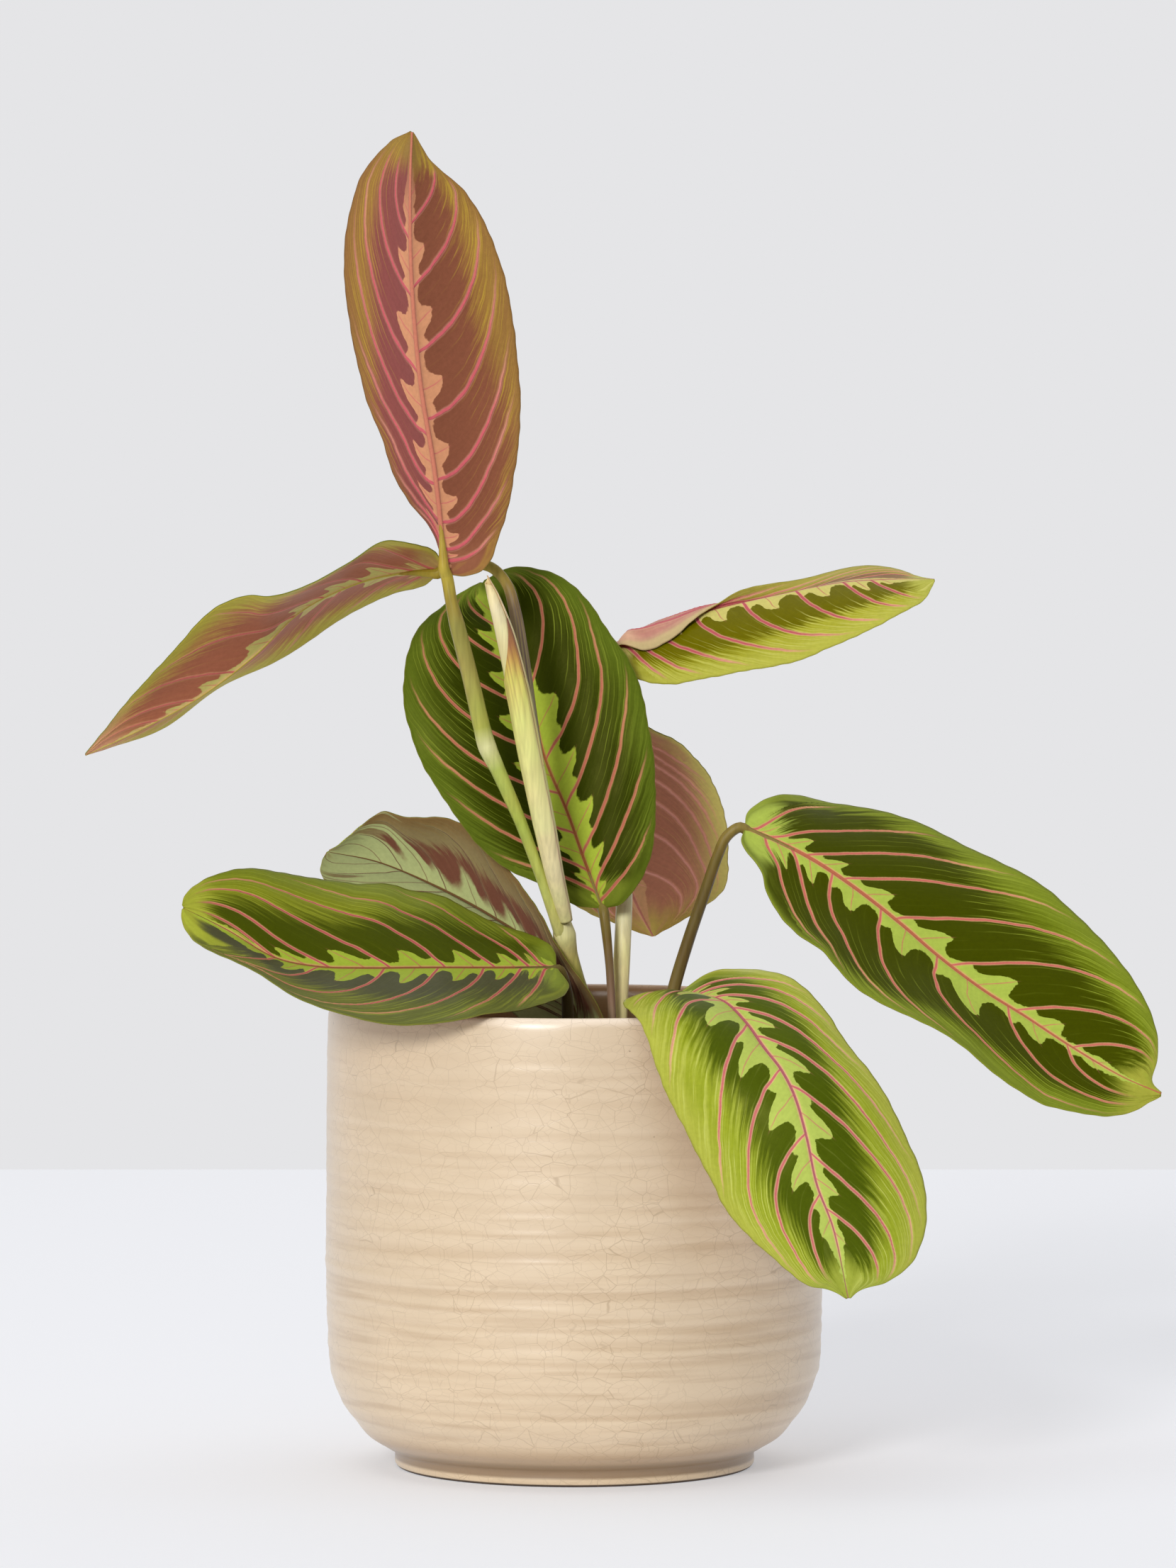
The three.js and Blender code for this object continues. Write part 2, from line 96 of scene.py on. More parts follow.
# %% One function that adds a node
# The kinds of node that come back most, then the settings that do.
MATH, VECTOR, STEP = "ShaderNodeMath", "ShaderNodeVectorMath", "ShaderNodeMapRange"
MIX, NOISE, FIELD = "ShaderNodeMix", "ShaderNodeTexNoise", "ShaderNodeAttribute"
SOFT = dict(interpolation_type="SMOOTHSTEP")
TIMES, PLUS, MINUS = (dict(operation=word) for word in ("MULTIPLY", "ADD", "SUBTRACT"))
NOISE_SPAN = (0.3, 0.7)  # nearly all that a noise node gives lies between these
COLOURS = dict(pick=2, data_type="RGBA")


def add_node(tree, kind, feed=(), pick=0, **settings):
    """Adds a node, sets it up, feeds its sockets with values or links, and returns one output."""
    node = tree.nodes.new(kind)
    for setting, value in settings.items():
        setattr(node, setting, value)
    for socket, value in feed.items() if isinstance(feed, dict) else enumerate(feed):
        if isinstance(value, bpy.types.NodeSocket):
            tree.links.new(value, node.inputs[socket])
        else:
            node.inputs[socket].default_value = value
    return node.outputs[pick] if len(node.outputs) else node


def adder(block):
    """Empties the tree of a material or the world, and returns add_node made ready for it."""
    block.use_nodes = True
    block.node_tree.nodes.clear()
    return partial(add_node, block.node_tree)


print("kinds of node named:", MATH, VECTOR, STEP, MIX, NOISE, FIELD)

# %% Floor and wall
FLOOR_REACH = 0.887  # m from the pot's axis to the table's far edge
# FLOOR_GLOW is a painted glow: the table shines of its own, which lightens every shadow on it.
FLOOR, FLOOR_GLOW = "#d1d2d5", 0.5
# The room is darker to the front right and to the left: direction, and the share of light from there.
DARK_SIDES = (((0.77, -0.62, 0.12), 0.3), ((-0.92, -0.36, 0.15), 0.5))

world = bpy.data.worlds.new("pale wall")
add = adder(world)
direction = add("ShaderNodeTexCoord")
strength = None
for side, darkest in DARK_SIDES:
    toward = add(VECTOR, [direction, side], pick=1, operation="DOT_PRODUCT")
    share = add(STEP, [toward, 0.1, 0.95, 1.0, darkest], **SOFT)
    strength = share if strength is None else add(MATH, [strength, share], **TIMES)
backdrop = add("ShaderNodeBackground", {"Color": linear(WALL), "Strength": strength})
add("ShaderNodeOutputWorld", [backdrop])
bpy.context.scene.world = world

floor_mesh = bpy.data.meshes.new("floor")
corners = [(x * FLOOR_REACH, y * FLOOR_REACH, 0) for x, y in ((-1, -1), (1, -1), (1, 1), (-1, 1))]
floor_mesh.from_pydata(corners, [], [(0, 1, 2, 3)])
floor = put("floor", floor_mesh)
# The emission below is a painted glow that lifts the shadows on the table.
glowing_table = bpy.data.materials.new("pale table with a painted glow")
add = adder(glowing_table)
surface = add("ShaderNodeBsdfPrincipled", {
    "Base Color": linear(FLOOR), "Roughness": 0.9, "Specular IOR Level": 0.1,
    "Emission Color": linear(FLOOR), "Emission Strength": FLOOR_GLOW})
add("ShaderNodeOutputMaterial", [surface])
floor_mesh.materials.append(glowing_table)
print("floor edge behind the pot at", FLOOR_REACH, "m")

# %% Lamps
def lamp(name, kind, place, aim, energy, **settings):
    """A lamp at place that points at aim, both in metres."""
    light = put(name, bpy.data.lights.new(name, kind))
    light.data.energy = energy
    for setting, value in settings.items():
        setattr(light.data, setting, value)
    light.location = place
    light.rotation_euler = (Vector(aim) - Vector(place)).to_track_quat("-Z", "Y").to_euler()


POT_FOOT = (0, 0, 0)
lamp("window", "SUN", (-0.31, -0.88, 0.36), POT_FOOT, 1.75, angle=math.radians(15))
lamp("soft box overhead", "AREA", (-0.1, -0.1, 1.3), POT_FOOT, 1.6, shape="RECTANGLE", size=1.0,
     size_y=1.0)

# %% [markdown]
# ## Curves that a hand can set
#
# A leaf's rib and margins are given by a few points that were read on an upright plane, as they look
# from the camera, each with its real depth. `placed` slides such a reading along the line of sight to
# its depth, and `spline` draws a smooth curve through the points. The centripetal Catmull-Rom curve is
# used because it passes through every point and never loops between two close ones.

# %% Curve helpers
def placed(points, plane=0.0):
    """Readings on the plane y = plane, moved along the line of sight to their own depth."""
    read = np.array(points, float)
    share = (read[:, 1:2] - EYE[1]) / (plane - EYE[1])
    moved = EYE + (read - EYE) * share
    moved[:, 1] = read[:, 1]
    return moved


def spline(points, steps=40):
    """A smooth curve through the points, as a dense polyline."""
    ends = np.vstack([2 * points[0] - points[1], points, 2 * points[-1] - points[-2]])
    gaps = np.linalg.norm(np.diff(ends, axis=0), axis=1) ** 0.5
    t = np.linspace(0, 1, steps, endpoint=False)[:, None]
    pieces = []
    for k in range(1, len(ends) - 2):
        before, here, ahead, after = ends[k - 1:k + 3]
        d0, d1, d2 = gaps[k - 1:k + 2]
        leave = ((here - before) / d0 - (ahead - before) / (d0 + d1) + (ahead - here) / d1) * d1
        arrive = ((ahead - here) / d1 - (after - here) / (d1 + d2) + (after - ahead) / d2) * d1
        bend = 3 * (ahead - here) - 2 * leave - arrive
        pieces.append(here + leave * t + bend * t ** 2 + (2 * (here - ahead) + leave + arrive) * t ** 3)
    return np.vstack(pieces + [points[-1:]])


def at_shares(line, shares):
    """Points of a polyline at these shares of its length."""
    run = np.r_[0, np.cumsum(np.linalg.norm(np.diff(line, axis=0), axis=1))]
    return np.stack([np.interp(np.clip(shares, 0, 1) * run[-1], run, c) for c in line.T], axis=-1)


def unit(vectors):
    return vectors / np.maximum(np.linalg.norm(vectors, axis=-1, keepdims=True), 1e-9)


def ramp(value, start, end):
    """0 before start, 1 after end, and a smooth step between them, either way round."""
    t = np.clip((value - start) / (end - start), 0, 1)
    return t * t * (3 - 2 * t)


print("a test curve's middle:", at_shares(spline(placed([(0, 0, 0), (10, 0, 10), (20, 0, 0)])), 0.5))

# %% [markdown]
# ## The leaves' outlines
#
# Each leaf has a midrib from base to tip and a margin on either side of it, right and left as seen on
# the upper face with the tip up. `arch` says how far each half bulges, `wave` how the margin ripples
# (height, number, start). `plane` is where the outline was read. `faces` names the finish of its upper
# face and of its underside: four of the nine leaves show their underside to the camera, and the folded
# one shows both.

# %% Leaf outlines
ROLLED_HALF = (0, -0.38, -0.4, -0.38, -0.45, -0.4, -0.22, -0.12, -0.06, -0.03, 0, 0, 0)

LEAVES = {
    "leaf_upright": dict(
        plane=0, wave=(0.8, 3, 0.4), arch=(0.07, 0.05),
        faces=("deep_green_leaf", "salmon_underside"),
        rib=[(-36, -10, 251), (-39.2, -9.5, 280), (-43.2, -7, 305), (-45.7, -3, 335), (-46, 2, 362),
            (-45.5, 6, 375.5)],
        right=[(-40, -5, 263), (-47, 0, 271.5), (-51.3, 3, 279), (-53.7, 6, 289), (-58.5, 11, 301),
            (-63, 16, 317), (-64.3, 19, 335), (-63, 20, 353), (-60, 19, 363), (-52, 13, 372)],
        left=[(-30.5, -9.5, 250.3), (-24.8, -9, 252.6), (-21, -7, 261), (-17, -4, 276), (-15, 0, 304),
            (-18, 4, 328), (-23, 6, 345), (-30, 8, 358), (-40, 8, 367)]),
    "leaf_left_high": dict(
        plane=0, wave=(0.7, 3, 1.8), arch=(0.05, 0.06),
        faces=("deep_green_leaf", "russet_underside"),
        rib=[(-37, 2, 252.5), (-50, 4, 251.5), (-62, 5, 248.5), (-77, 5, 241), (-90, 4, 228.5),
            (-105, 2, 217), (-122, -1, 207.5), (-138, -4, 200)],
        right=[(-42, 12, 248), (-50, 20, 246), (-58, 26, 242), (-68, 30, 236.5), (-85, 32, 226.5),
            (-98, 30, 219.5), (-115, 22, 208.5), (-131, 6, 202)],
        left=[(-38.7, -5, 257.3), (-46, -16, 260), (-54, -22, 260), (-62, -22, 254.5),
            (-72, -21, 249.5), (-85, -22, 245.5), (-92, -22, 245.3), (-100, -22, 241.8),
            (-110, -18, 232.5), (-122, -14, 220), (-132, -8, 207.5)]),
    "leaf_centre": dict(
        plane=0, wave=(0.8, 4, 0.2), arch=(0.07, 0.07),
        faces=("deep_green_leaf", "purple_underside"),
        rib=[(8, 8, 157), (3, 11, 170), (-2, 15, 184), (-8.5, 20, 200), (-12, 24, 215), (-17, 30, 232),
            (-26, 37, 249)],
        right=[(13, 6.5, 158), (19, 6.5, 165), (22.5, 8, 175), (23, 12, 189), (22, 16, 204),
            (17, 21, 224), (10, 26, 235), (1, 31, 247), (-7, 34, 252), (-18, 37, 253)],
        left=[(1, 6, 157.5), (-11, 4.5, 164), (-20, 4, 168.5), (-30, 5, 178), (-38, 8, 189),
            (-43.5, 12, 199), (-48.5, 19, 217), (-45, 26, 234.5), (-38, 31, 241.5), (-32, 34, 246)]),
    "leaf_back": dict(
        plane=30, wave=(1.0, 3, 0.9), arch=(0.08, 0.08),
        faces=("deep_green_leaf", "mauve_underside"),
        rib=[(6, 38, 207), (7, 50, 192), (11, 64, 174), (17, 77, 158), (22.5, 85, 147)],
        right=[(14, 37, 209), (24, 41, 205.5), (30, 45, 203), (38.5, 54, 193), (43, 63, 182),
            (44, 70, 171), (43, 77, 160.5), (37, 81, 155.5), (30, 83, 151.3)],
        left=[(-2, 38, 208), (-11, 46, 199), (-14.5, 56, 187), (-13, 67, 174), (-8, 75, 165),
            (-2, 80, 157), (4, 82, 153.5), (10, 84, 151.5), (17, 85, 148.7)]),
    "leaf_right_high": dict(
        plane=0, wave=(0.5, 3, 1.1), arch=(ROLLED_HALF, 0.09),
        faces=("yellow_green_leaf", "pink_underside"),
        rib=[(10, 38, 230), (22, 37, 236), (36, 35, 240.5), (55, 32, 245), (75, 28, 248.8),
            (90, 24, 249.5), (101.5, 20, 249.5)],
        right=[(13, 32, 225), (18, 28, 221.3), (26, 24, 220), (35, 21, 221.2), (46, 18, 223),
            (60, 15, 226), (70, 13, 229.5), (80, 12, 233.5), (90, 12, 239), (98.5, 15, 244)],
        left=[(14, 31, 231.3), (20, 29.5, 229.5), (28, 29, 233), (35, 31, 239), (45, 37, 245.5),
            (55, 44, 248.5), (66, 49, 250.6), (76, 49, 252.5), (84, 44, 253.2), (91, 37, 252.5),
            (97.5, 27, 250.3)]),
    "leaf_left_low": dict(
        plane=0, wave=(0.6, 4, 2.6), arch=(0, 0.07),
        faces=("low_green_leaf", "purple_underside"),
        rib=[(-5, -21, 140.5), (-20, -26, 140.3), (-40, -32, 140.3), (-60, -36, 140.2),
            (-72, -37, 140.6), (-84, -37, 143), (-98, -33, 151), (-110.5, -28, 157.3)],
        right=[(-6.5, -11, 146.4), (-22.6, -5, 153.5), (-37.6, -4, 160.2), (-45, -5, 162),
            (-53, -6, 164.6), (-62, -8, 164), (-71, -10, 165), (-86, -14, 168.2), (-94, -16, 168.2),
            (-102, -20, 166.2), (-107.5, -23, 163.2), (-110, -26, 160.3)],
        left=[(-1.5, -30, 135.2), (-3, -37, 132), (-10.7, -50, 129.6), (-24, -67, 126.9),
            (-34, -71, 124.8), (-54.3, -70, 124.9), (-69.3, -66, 127.7), (-78, -62, 131.5),
            (-88, -55, 138.4), (-105, -42, 146), (-109.3, -35, 150.2), (-110.8, -31, 153.8)]),
    "leaf_left_back": dict(
        plane=0, wave=(0.7, 3, 0.5), arch=(0.06, 0.06),
        faces=("deep_green_leaf", "grey_green_underside"),
        rib=[(2, -3, 117.5), (0.8, -4, 126), (-3, -4, 136), (-13, 4, 148), (-22, 13, 154.3),
            (-38, 25, 163), (-55, 31, 170.2), (-69.5, 31, 173.2)],
        right=[(-4, 1, 118), (-11, 8, 121), (-17, 14, 127), (-28, 27, 137), (-42, 38, 147),
            (-56, 44, 156), (-66, 43, 161), (-71.3, 38, 166), (-71.4, 34, 170)],
        left=[(7, -6, 119), (8.5, -8, 125), (3.6, -9, 134.4), (-0.4, -7, 140), (-4.9, -5, 147.5),
            (-8.5, -3, 155), (-20.2, 8, 169.4), (-28, 14, 178.9), (-35, 18, 182.6), (-48, 20, 183),
            (-54, 21, 184.2), (-60, 24, 180.5), (-66.2, 27, 175.3)]),
    "leaf_front": dict(
        plane=-60, wave=(0.6, 4, 1.4), arch=(0.08, 0.1),
        faces=("lime_leaf", "purple_underside"),
        rib=[(25, -42, 134), (34, -49, 136.3), (41, -57, 135), (47.3, -66, 129), (52, -74, 122.5),
            (57, -80, 116), (60.5, -84, 109), (63.8, -87, 97.6), (66.5, -88, 85), (71, -87, 73),
            (75.3, -82, 53)],
        right=[(20, -46, 134.5), (14, -52, 135.7), (13.3, -59, 134.2), (15.5, -67, 132),
            (17.7, -72, 129), (20, -75, 124), (24.3, -77, 111.7), (31.9, -79, 96.4), (37.7, -80, 85),
            (42.1, -81, 76.7), (52.9, -82, 65.9), (63.7, -82, 57), (70.5, -82, 55.5)],
        left=[(30, -39, 138.2), (37.7, -39, 143.5), (45.3, -42, 144.3), (52.9, -46, 143.5),
            (60.5, -51, 140.6), (68.8, -58, 133.3), (77.1, -66, 120.6), (86, -72, 108.5),
            (92.9, -76, 94.5), (96.2, -78, 84), (96.6, -80, 73.4), (92.9, -81, 63.2), (86, -82, 58),
            (78.5, -82, 55.6)]),
    "leaf_right": dict(
        plane=-20, wave=(0.8, 4, 3.0), arch=(0.06, -0.05),
        faces=("dark_green_leaf", "purple_underside"),
        rib=[(47.5, -6, 181), (57, -8, 176.8), (67, -10, 171.6), (78, -12, 164.2), (91, -14, 154),
            (101.3, -15, 145.1), (114, -17, 135.5), (125.6, -18, 128.2), (138, -19, 120),
            (152.8, -20, 111.2), (164.5, -20, 106.1)],
        right=[(46.5, -12, 176), (51.7, -18, 168.8), (54, -23, 161.5), (62, -30, 151), (68.5, -33, 146),
            (77, -37, 137.2), (91, -40, 129.4), (106, -41, 120.5), (121, -39, 109.7),
            (130.3, -36, 103.4), (139, -33, 101), (147, -30, 100), (155, -26, 100.8),
            (160.3, -22, 103.5)],
        left=[(47.9, -1, 184.5), (52.6, 4, 188.5), (60.1, 9, 190.2), (71.3, 12, 188.3),
            (85.4, 13, 185.2), (101.3, 12, 180), (119.1, 9, 171.1), (130.3, 6, 164.5),
            (143.4, 1, 153.8), (154.7, -5, 140.2), (162.2, -11, 125.6), (162.8, -15, 116),
            (161.3, -18, 110)]),
}
print(len(LEAVES), "leaves;", sum(len(leaf["rib"]) for leaf in LEAVES.values()), "points on the ribs")

# %% [markdown]
# ## How a blade is drawn
#
# A prayer plant's blade is thinner than half a millimetre. Its main veins leave the midrib at a steep
# angle and bend towards the tip, and the blade sinks a little along each of them, so it looks quilted.
# The sheet could be modelled by hand, but the veins follow a rule: each has a root on the midrib, a
# slant and a hook, and between two of them everything changes evenly. The three numbers are read for
# each vein. So each half is a grid, share of the length by share of the way out, and one function gives
# the vein number at any place on it. Whole numbers lie on a vein. That number and a few lengths in mm
# are kept on the mesh, and the finish draws the pattern from them, so a vein keeps its width in mm
# wherever it runs.

# %% Vein readings
# Each vein is (share of the rib where it leaves, slant, hook). At a share s of the way out it has gone
# forward by slant * s + hook * s cubed, in shares of the length.
VEINS = {  # left half, right half
    "leaf_upright": (
        [(0.03, 0.04, 0.11), (0.055, 0.06, 0.18), (0.115, 0.07, 0.3), (0.21, 0.1, 0.28),
         (0.345, 0.12, 0.27), (0.495, 0.16, 0.17), (0.64, 0.2, 0.06), (0.785, 0.15, 0)],
        [(0.03, 0.03, 0.12), (0.06, 0.03, 0.2), (0.12, 0.02, 0.3), (0.2, 0.04, 0.38),
         (0.31, 0.07, 0.5), (0.45, 0.16, 0.4), (0.62, 0.17, 0.42), (0.75, 0.14, 1.2)]),
    "leaf_left_high": (
        [(-0.02, 0.3, 0), (0.06, 0.38, 0), (0.2, 0.28, 0), (0.3, 0.32, 0), (0.38, 0.42, 0),
         (0.585, 0.3, 0), (0.7, 0.34, 0), (0.8, 0.3, 0)],
        [(-0.05, 0.24, 0), (0.04, 0.2, 0.1), (0.24, 0.18, 0.06), (0.38, 0.24, 0.1),
         (0.5, 0.24, 0.1), (0.63, 0.24, 0.05), (0.76, 0.2, 0)]),
    "leaf_centre": (
        [(0.045, 0.11, 0.14), (0.11, 0.16, 0.2), (0.225, 0.17, 0.22), (0.345, 0.17, 0.22),
         (0.47, 0.17, 0.22), (0.6, 0.16, 0.2), (0.72, 0.13, 0.16), (0.83, 0.1, 0.1)],
        [(0.02, 0.06, 0.18), (0.05, 0.25, 0.12), (0.16, 0.26, 0.2), (0.3, 0.27, 0.24),
         (0.45, 0.22, 0.3), (0.65, 0.26, 0.1), (0.82, 0.2, 0)]),
    "leaf_back": (
        [(-0.03, 0.2, 0.3), (0.03, 0.18, 0.42), (0.11, 0.15, 0.46), (0.21, 0.13, 0.54),
         (0.33, 0.12, 0.6), (0.485, 0.14, 0.5), (0.655, 0.2, 0.18)],) * 2,
    "leaf_right_high": (
        [(-0.1, 0.5, 0.2), (0.05, 0.5, 0.2), (0.2, 0.5, 0.15), (0.35, 0.48, 0.1), (0.5, 0.44, 0.0),
         (0.65, 0.34, 0)],
        [(-0.01, 0.2, 0.05), (0.04, 0.2, 0.1), (0.125, 0.2, 0.15), (0.265, 0.14, 0.25),
         (0.415, 0.13, 0.22), (0.575, 0.13, 0.13), (0.72, 0.11, 0.07), (0.8, 0.12, 0.02)]),
    "leaf_left_low": (
        [(0.01, 0.18, 0.08), (0.09, 0.2, 0.15), (0.19, 0.2, 0.29), (0.31, 0.24, 0.19),
         (0.445, 0.19, 0.29), (0.61, 0.18, 0.05), (0.72, 0.11, 0.02)],
        [(0.015, 0.2, 0.02), (0.07, 0.19, 0.27), (0.16, 0.3, 0.33), (0.29, 0.33, 0.47),
         (0.43, 0.5, 0.31), (0.58, 0.76, 0), (0.72, 1.2, 0)]),
    "leaf_left_back": (
        [(0.02, 0.25, 0.1), (0.08, 0.25, 0.1), (0.18, 0.25, 0.1), (0.33, 0.24, 0.1),
         (0.465, 0.22, 0.12), (0.65, 0.2, 0.04), (0.79, 0.13, 0.02)],) * 2,
    "leaf_front": (
        [(0.04, 0.2, 0.1), (0.08, 0.24, 0.12), (0.145, 0.27, 0.13), (0.215, 0.32, 0.2),
         (0.33, 0.32, 0.2), (0.49, 0.27, 0.15), (0.65, 0.29, 0), (0.78, 0.19, 0)],
        [(0.04, 0.08, 0.1), (0.1, 0.08, 0.15), (0.19, 0.04, 0.22), (0.285, 0.29, 0.12),
         (0.445, 0.2, 0.3), (0.605, 0.14, 0.45), (0.745, 0.1, 1.2)]),
    "leaf_right": (
        [(0.005, 0.13, 0.1), (0.05, 0.255, 0.12), (0.135, 0.3, 0.13), (0.225, 0.33, 0.13),
         (0.355, 0.34, 0.1), (0.5, 0.34, 0.02), (0.66, 0.28, 0), (0.795, 0.17, 0)],
        [(0.045, 0.06, 0.24), (0.1, 0.18, 0.1), (0.2, 0.1, 0.24), (0.32, 0.12, 0.16),
         (0.47, 0.05, 0.45), (0.64, 0.1, 0.6), (0.78, 0.1, 1.1)]),
}
# How far the pale teeth reach along each half, as (share of the length, share of its width).
TEETH = {
    "leaf_upright": (
        [(0, 0.5), (0.12, 0.34), (0.29, 0.23), (0.44, 0.24), (0.59, 0.2), (0.73, 0.18), (0.9, 0.1)],
        [(0, 0.9), (0.15, 0.6), (0.29, 0.42), (0.43, 0.38), (0.57, 0.3), (0.7, 0.24), (0.9, 0.1)]),
    "leaf_left_high": (
        [(0, 0.34), (0.3, 0.22), (0.6, 0.15), (0.9, 0.06)],
        [(0, 0.6), (0.3, 0.4), (0.6, 0.25), (0.9, 0.1)]),
    "leaf_centre": (
        [(0, 0.42), (0.12, 0.36), (0.4, 0.3), (0.7, 0.3), (0.85, 0.4), (1, 0.6)],
        [(0, 0.42), (0.12, 0.36), (0.4, 0.3), (0.56, 0.3), (0.68, 0.14), (0.85, 0.08), (1, 0.3)]),
    "leaf_back": ([(0, 0.3), (0.5, 0.25), (0.9, 0.15)],) * 2,
    "leaf_right_high": (
        [(0, 0.1), (0.5, 0.12), (0.9, 0.1)],
        [(0, 0.4), (0.35, 0.29), (0.5, 0.28), (0.67, 0.27), (0.8, 0.32), (0.9, 0.2)]),
    "leaf_left_low": (
        [(0, 0.5), (0.2, 0.34), (0.35, 0.3), (0.5, 0.28), (0.72, 0.32), (0.9, 0.15)],
        [(0, 0.6), (0.1, 0.4), (0.17, 0.27), (0.29, 0.22), (0.43, 0.17), (0.58, 0.17), (0.7, 0.1),
         (0.9, 0.05)]),
    "leaf_left_back": (
        [(0, 0.25), (0.3, 0.3), (0.6, 0.34), (0.74, 0.5), (0.84, 1.2), (1, 2)],
        [(0, 0.9), (0.2, 2), (1, 2)]),
    "leaf_front": (
        [(0, 0.5), (0.1, 0.34), (0.25, 0.24), (0.41, 0.27), (0.57, 0.27), (0.72, 0.17), (0.9, 0.08)],
        [(0, 0.7), (0.2, 0.5), (0.38, 0.4), (0.52, 0.32), (0.67, 0.27), (0.8, 0.22), (0.9, 0.1)]),
    "leaf_right": (
        [(0, 0.5), (0.08, 0.36), (0.2, 0.19), (0.33, 0.17), (0.47, 0.18), (0.62, 0.2), (0.75, 0.13),
         (0.9, 0.06)],
        [(0, 0.9), (0.1, 0.55), (0.17, 0.33), (0.29, 0.26), (0.43, 0.28), (0.58, 0.38), (0.71, 0.22),
         (0.85, 0.13), (0.93, 0.08)]),
}
print("veins read:", {name: [len(half) for half in halves] for name, halves in VEINS.items()})

# %% The vein rule
ROOTS_TRIED = 600  # places along the rib from which a vein is followed out


def vein_number(along, out, veins):
    """The vein that passes here: 0 on the first, and in between a fraction. Before the first and past
    the last it stops half way, so that no vein is drawn there."""
    starts, slants, hooks = np.array(veins, float).T
    gaps = starts[1] - starts[0], starts[-1] - starts[-2]
    knots = np.r_[starts[0] - gaps[0], starts, starts[-1] + gaps[1]]
    begin = np.linspace(knots[0], knots[-1], ROOTS_TRIED)
    count = np.interp(begin, knots, np.arange(-1, len(starts) + 1))
    slant, hook = (np.interp(begin, starts, values) for values in (slants, hooks))
    number = np.empty_like(along)
    for k, s in enumerate(out[0]):
        reached = np.maximum.accumulate(begin + slant * s + hook * s ** 3)
        number[:, k] = np.interp(along[:, k], reached, count)
    return np.clip(number, -0.5, len(starts) - 0.5)


test = vein_number(*np.meshgrid([0.2, 0.5, 0.8], [0.1, 0.9], indexing="ij"), VEINS["leaf_right"][0])
print("vein numbers near the rib and near the margin:", test.round(2).tolist())

# %% One half of a blade
WIDEST_CELL = 25.0  # mm, where veins run far apart at the base
NICK_MM = 0.25  # how far the small nicks cut into the margin
NICKS = (31, 57, 103, 171)  # four waves whose sum never repeats along one margin
RIB_STEP = 0.004  # share of the rib over which its direction is taken


def half_blade(leaf, side, along, out, seed):
    """The middle surface of one half: side is -1 for the left one and 1 for the right one."""
    points = leaf["left"] if side < 0 else leaf["right"]
    rib = spline(placed(leaf["rib"], leaf["plane"]))
    margin = spline(placed([leaf["rib"][0], *points, leaf["rib"][-1]], leaf["plane"]))
    centre = at_shares(rib, along)
    forward = unit(at_shares(rib, along + RIB_STEP) - at_shares(rib, along - RIB_STEP))
    reach = at_shares(margin, along) - centre
    up = unit(np.cross(reach * side, forward))
    width = np.linalg.norm(reach, axis=1)
    nicks = sum(np.sin(along * f + seed * f + side) for f in NICKS) / len(NICKS)
    reach = reach * (1 - NICK_MM * (1 + nicks) / np.maximum(width, 4))[:, None]
    arch = leaf["arch"][side > 0]
    arch = np.interp(along, np.linspace(0, 1, len(arch)), arch) if isinstance(arch, tuple) else arch
    height, count, start = leaf["wave"]
    ripple = height * np.sin(np.pi * (2 * count * along + start + side)) * np.sin(np.pi * along)
    lift = (arch * width)[:, None] * 4 * out * (1 - out) + ripple[:, None] * out ** 3
    return centre[:, None] + reach[:, None] * out[:, None] + up[:, None] * lift[..., None]


def half_fields(surface, side, along, out, veins, teeth):
    """Vein number, cell width and the distances to rib and margin, all over one half."""
    u, s = np.meshgrid(along, out, indexing="ij")
    vein = vein_number(u, s, veins)
    du, ds = np.gradient(surface, along, axis=0), np.gradient(surface, out, axis=1)
    vu, vs = np.gradient(vein, along, axis=0), np.gradient(vein, out, axis=1)
    e, f, g = (du * du).sum(-1), (du * ds).sum(-1), (ds * ds).sum(-1)
    steep = (g * vu ** 2 - 2 * f * vu * vs + e * vs ** 2) / np.maximum(e * g - f * f, 1e-3)
    pitch = np.clip(1 / np.sqrt(np.maximum(steep, 1e-6)), 0.5, WIDEST_CELL)
    steps = np.linalg.norm(np.diff(surface, axis=1), axis=-1)
    rib_mm = np.concatenate([np.zeros((len(along), 1)), np.cumsum(steps, axis=1)], axis=1)
    tooth_mm = np.interp(u, *np.array(teeth).T) * rib_mm[:, -1:]
    return dict(vein=vein, pitch=pitch, out=s, along=u, rib_mm=rib_mm, tooth_mm=tooth_mm,
                margin_mm=rib_mm[:, -1:] - rib_mm, half=np.full_like(u, side))


print("each blade keeps: vein, pitch, out, along, rib_mm, tooth_mm, margin_mm, half")

# %% Relief and thickness
BLADE_MM = 0.5  # thickness near the rib
MARGIN_MM = 0.26  # and at the margin
QUILT_MM = 0.42  # how far the blade sinks along a main vein
GROOVE_MM, GROOVE_HALF_MM = 0.35, 0.9  # depth and half width of the groove over the midrib
KEEL_MM, RIB_HALF_MM = 0.3, 0.42  # how far the midrib stands out below at the base, and its half width


def relief(field):
    """How far the face sinks along the veins, the thickness, and how far the midrib stands out."""
    between = np.abs(np.sin(np.pi * field["vein"])) ** 0.55
    inside = ramp(field["out"], 0.02, 0.2) * ramp(field["out"], 1.0, 0.72)
    sink = QUILT_MM * (1 - between) * inside
    groove = GROOVE_MM * np.exp(-(field["rib_mm"] / GROOVE_HALF_MM) ** 2)
    groove = groove * ramp(field["along"], 1.0, 0.6)
    thick = MARGIN_MM + (BLADE_MM - MARGIN_MM) * (1 - field["out"] ** 2)
    taper = 0.12 + 0.88 * (1 - field["along"]) ** 1.2
    keel = KEEL_MM * taper * np.exp(-(field["rib_mm"] / (RIB_HALF_MM * (0.45 + 0.55 * taper))) ** 2)
    return sink + groove, thick, keel


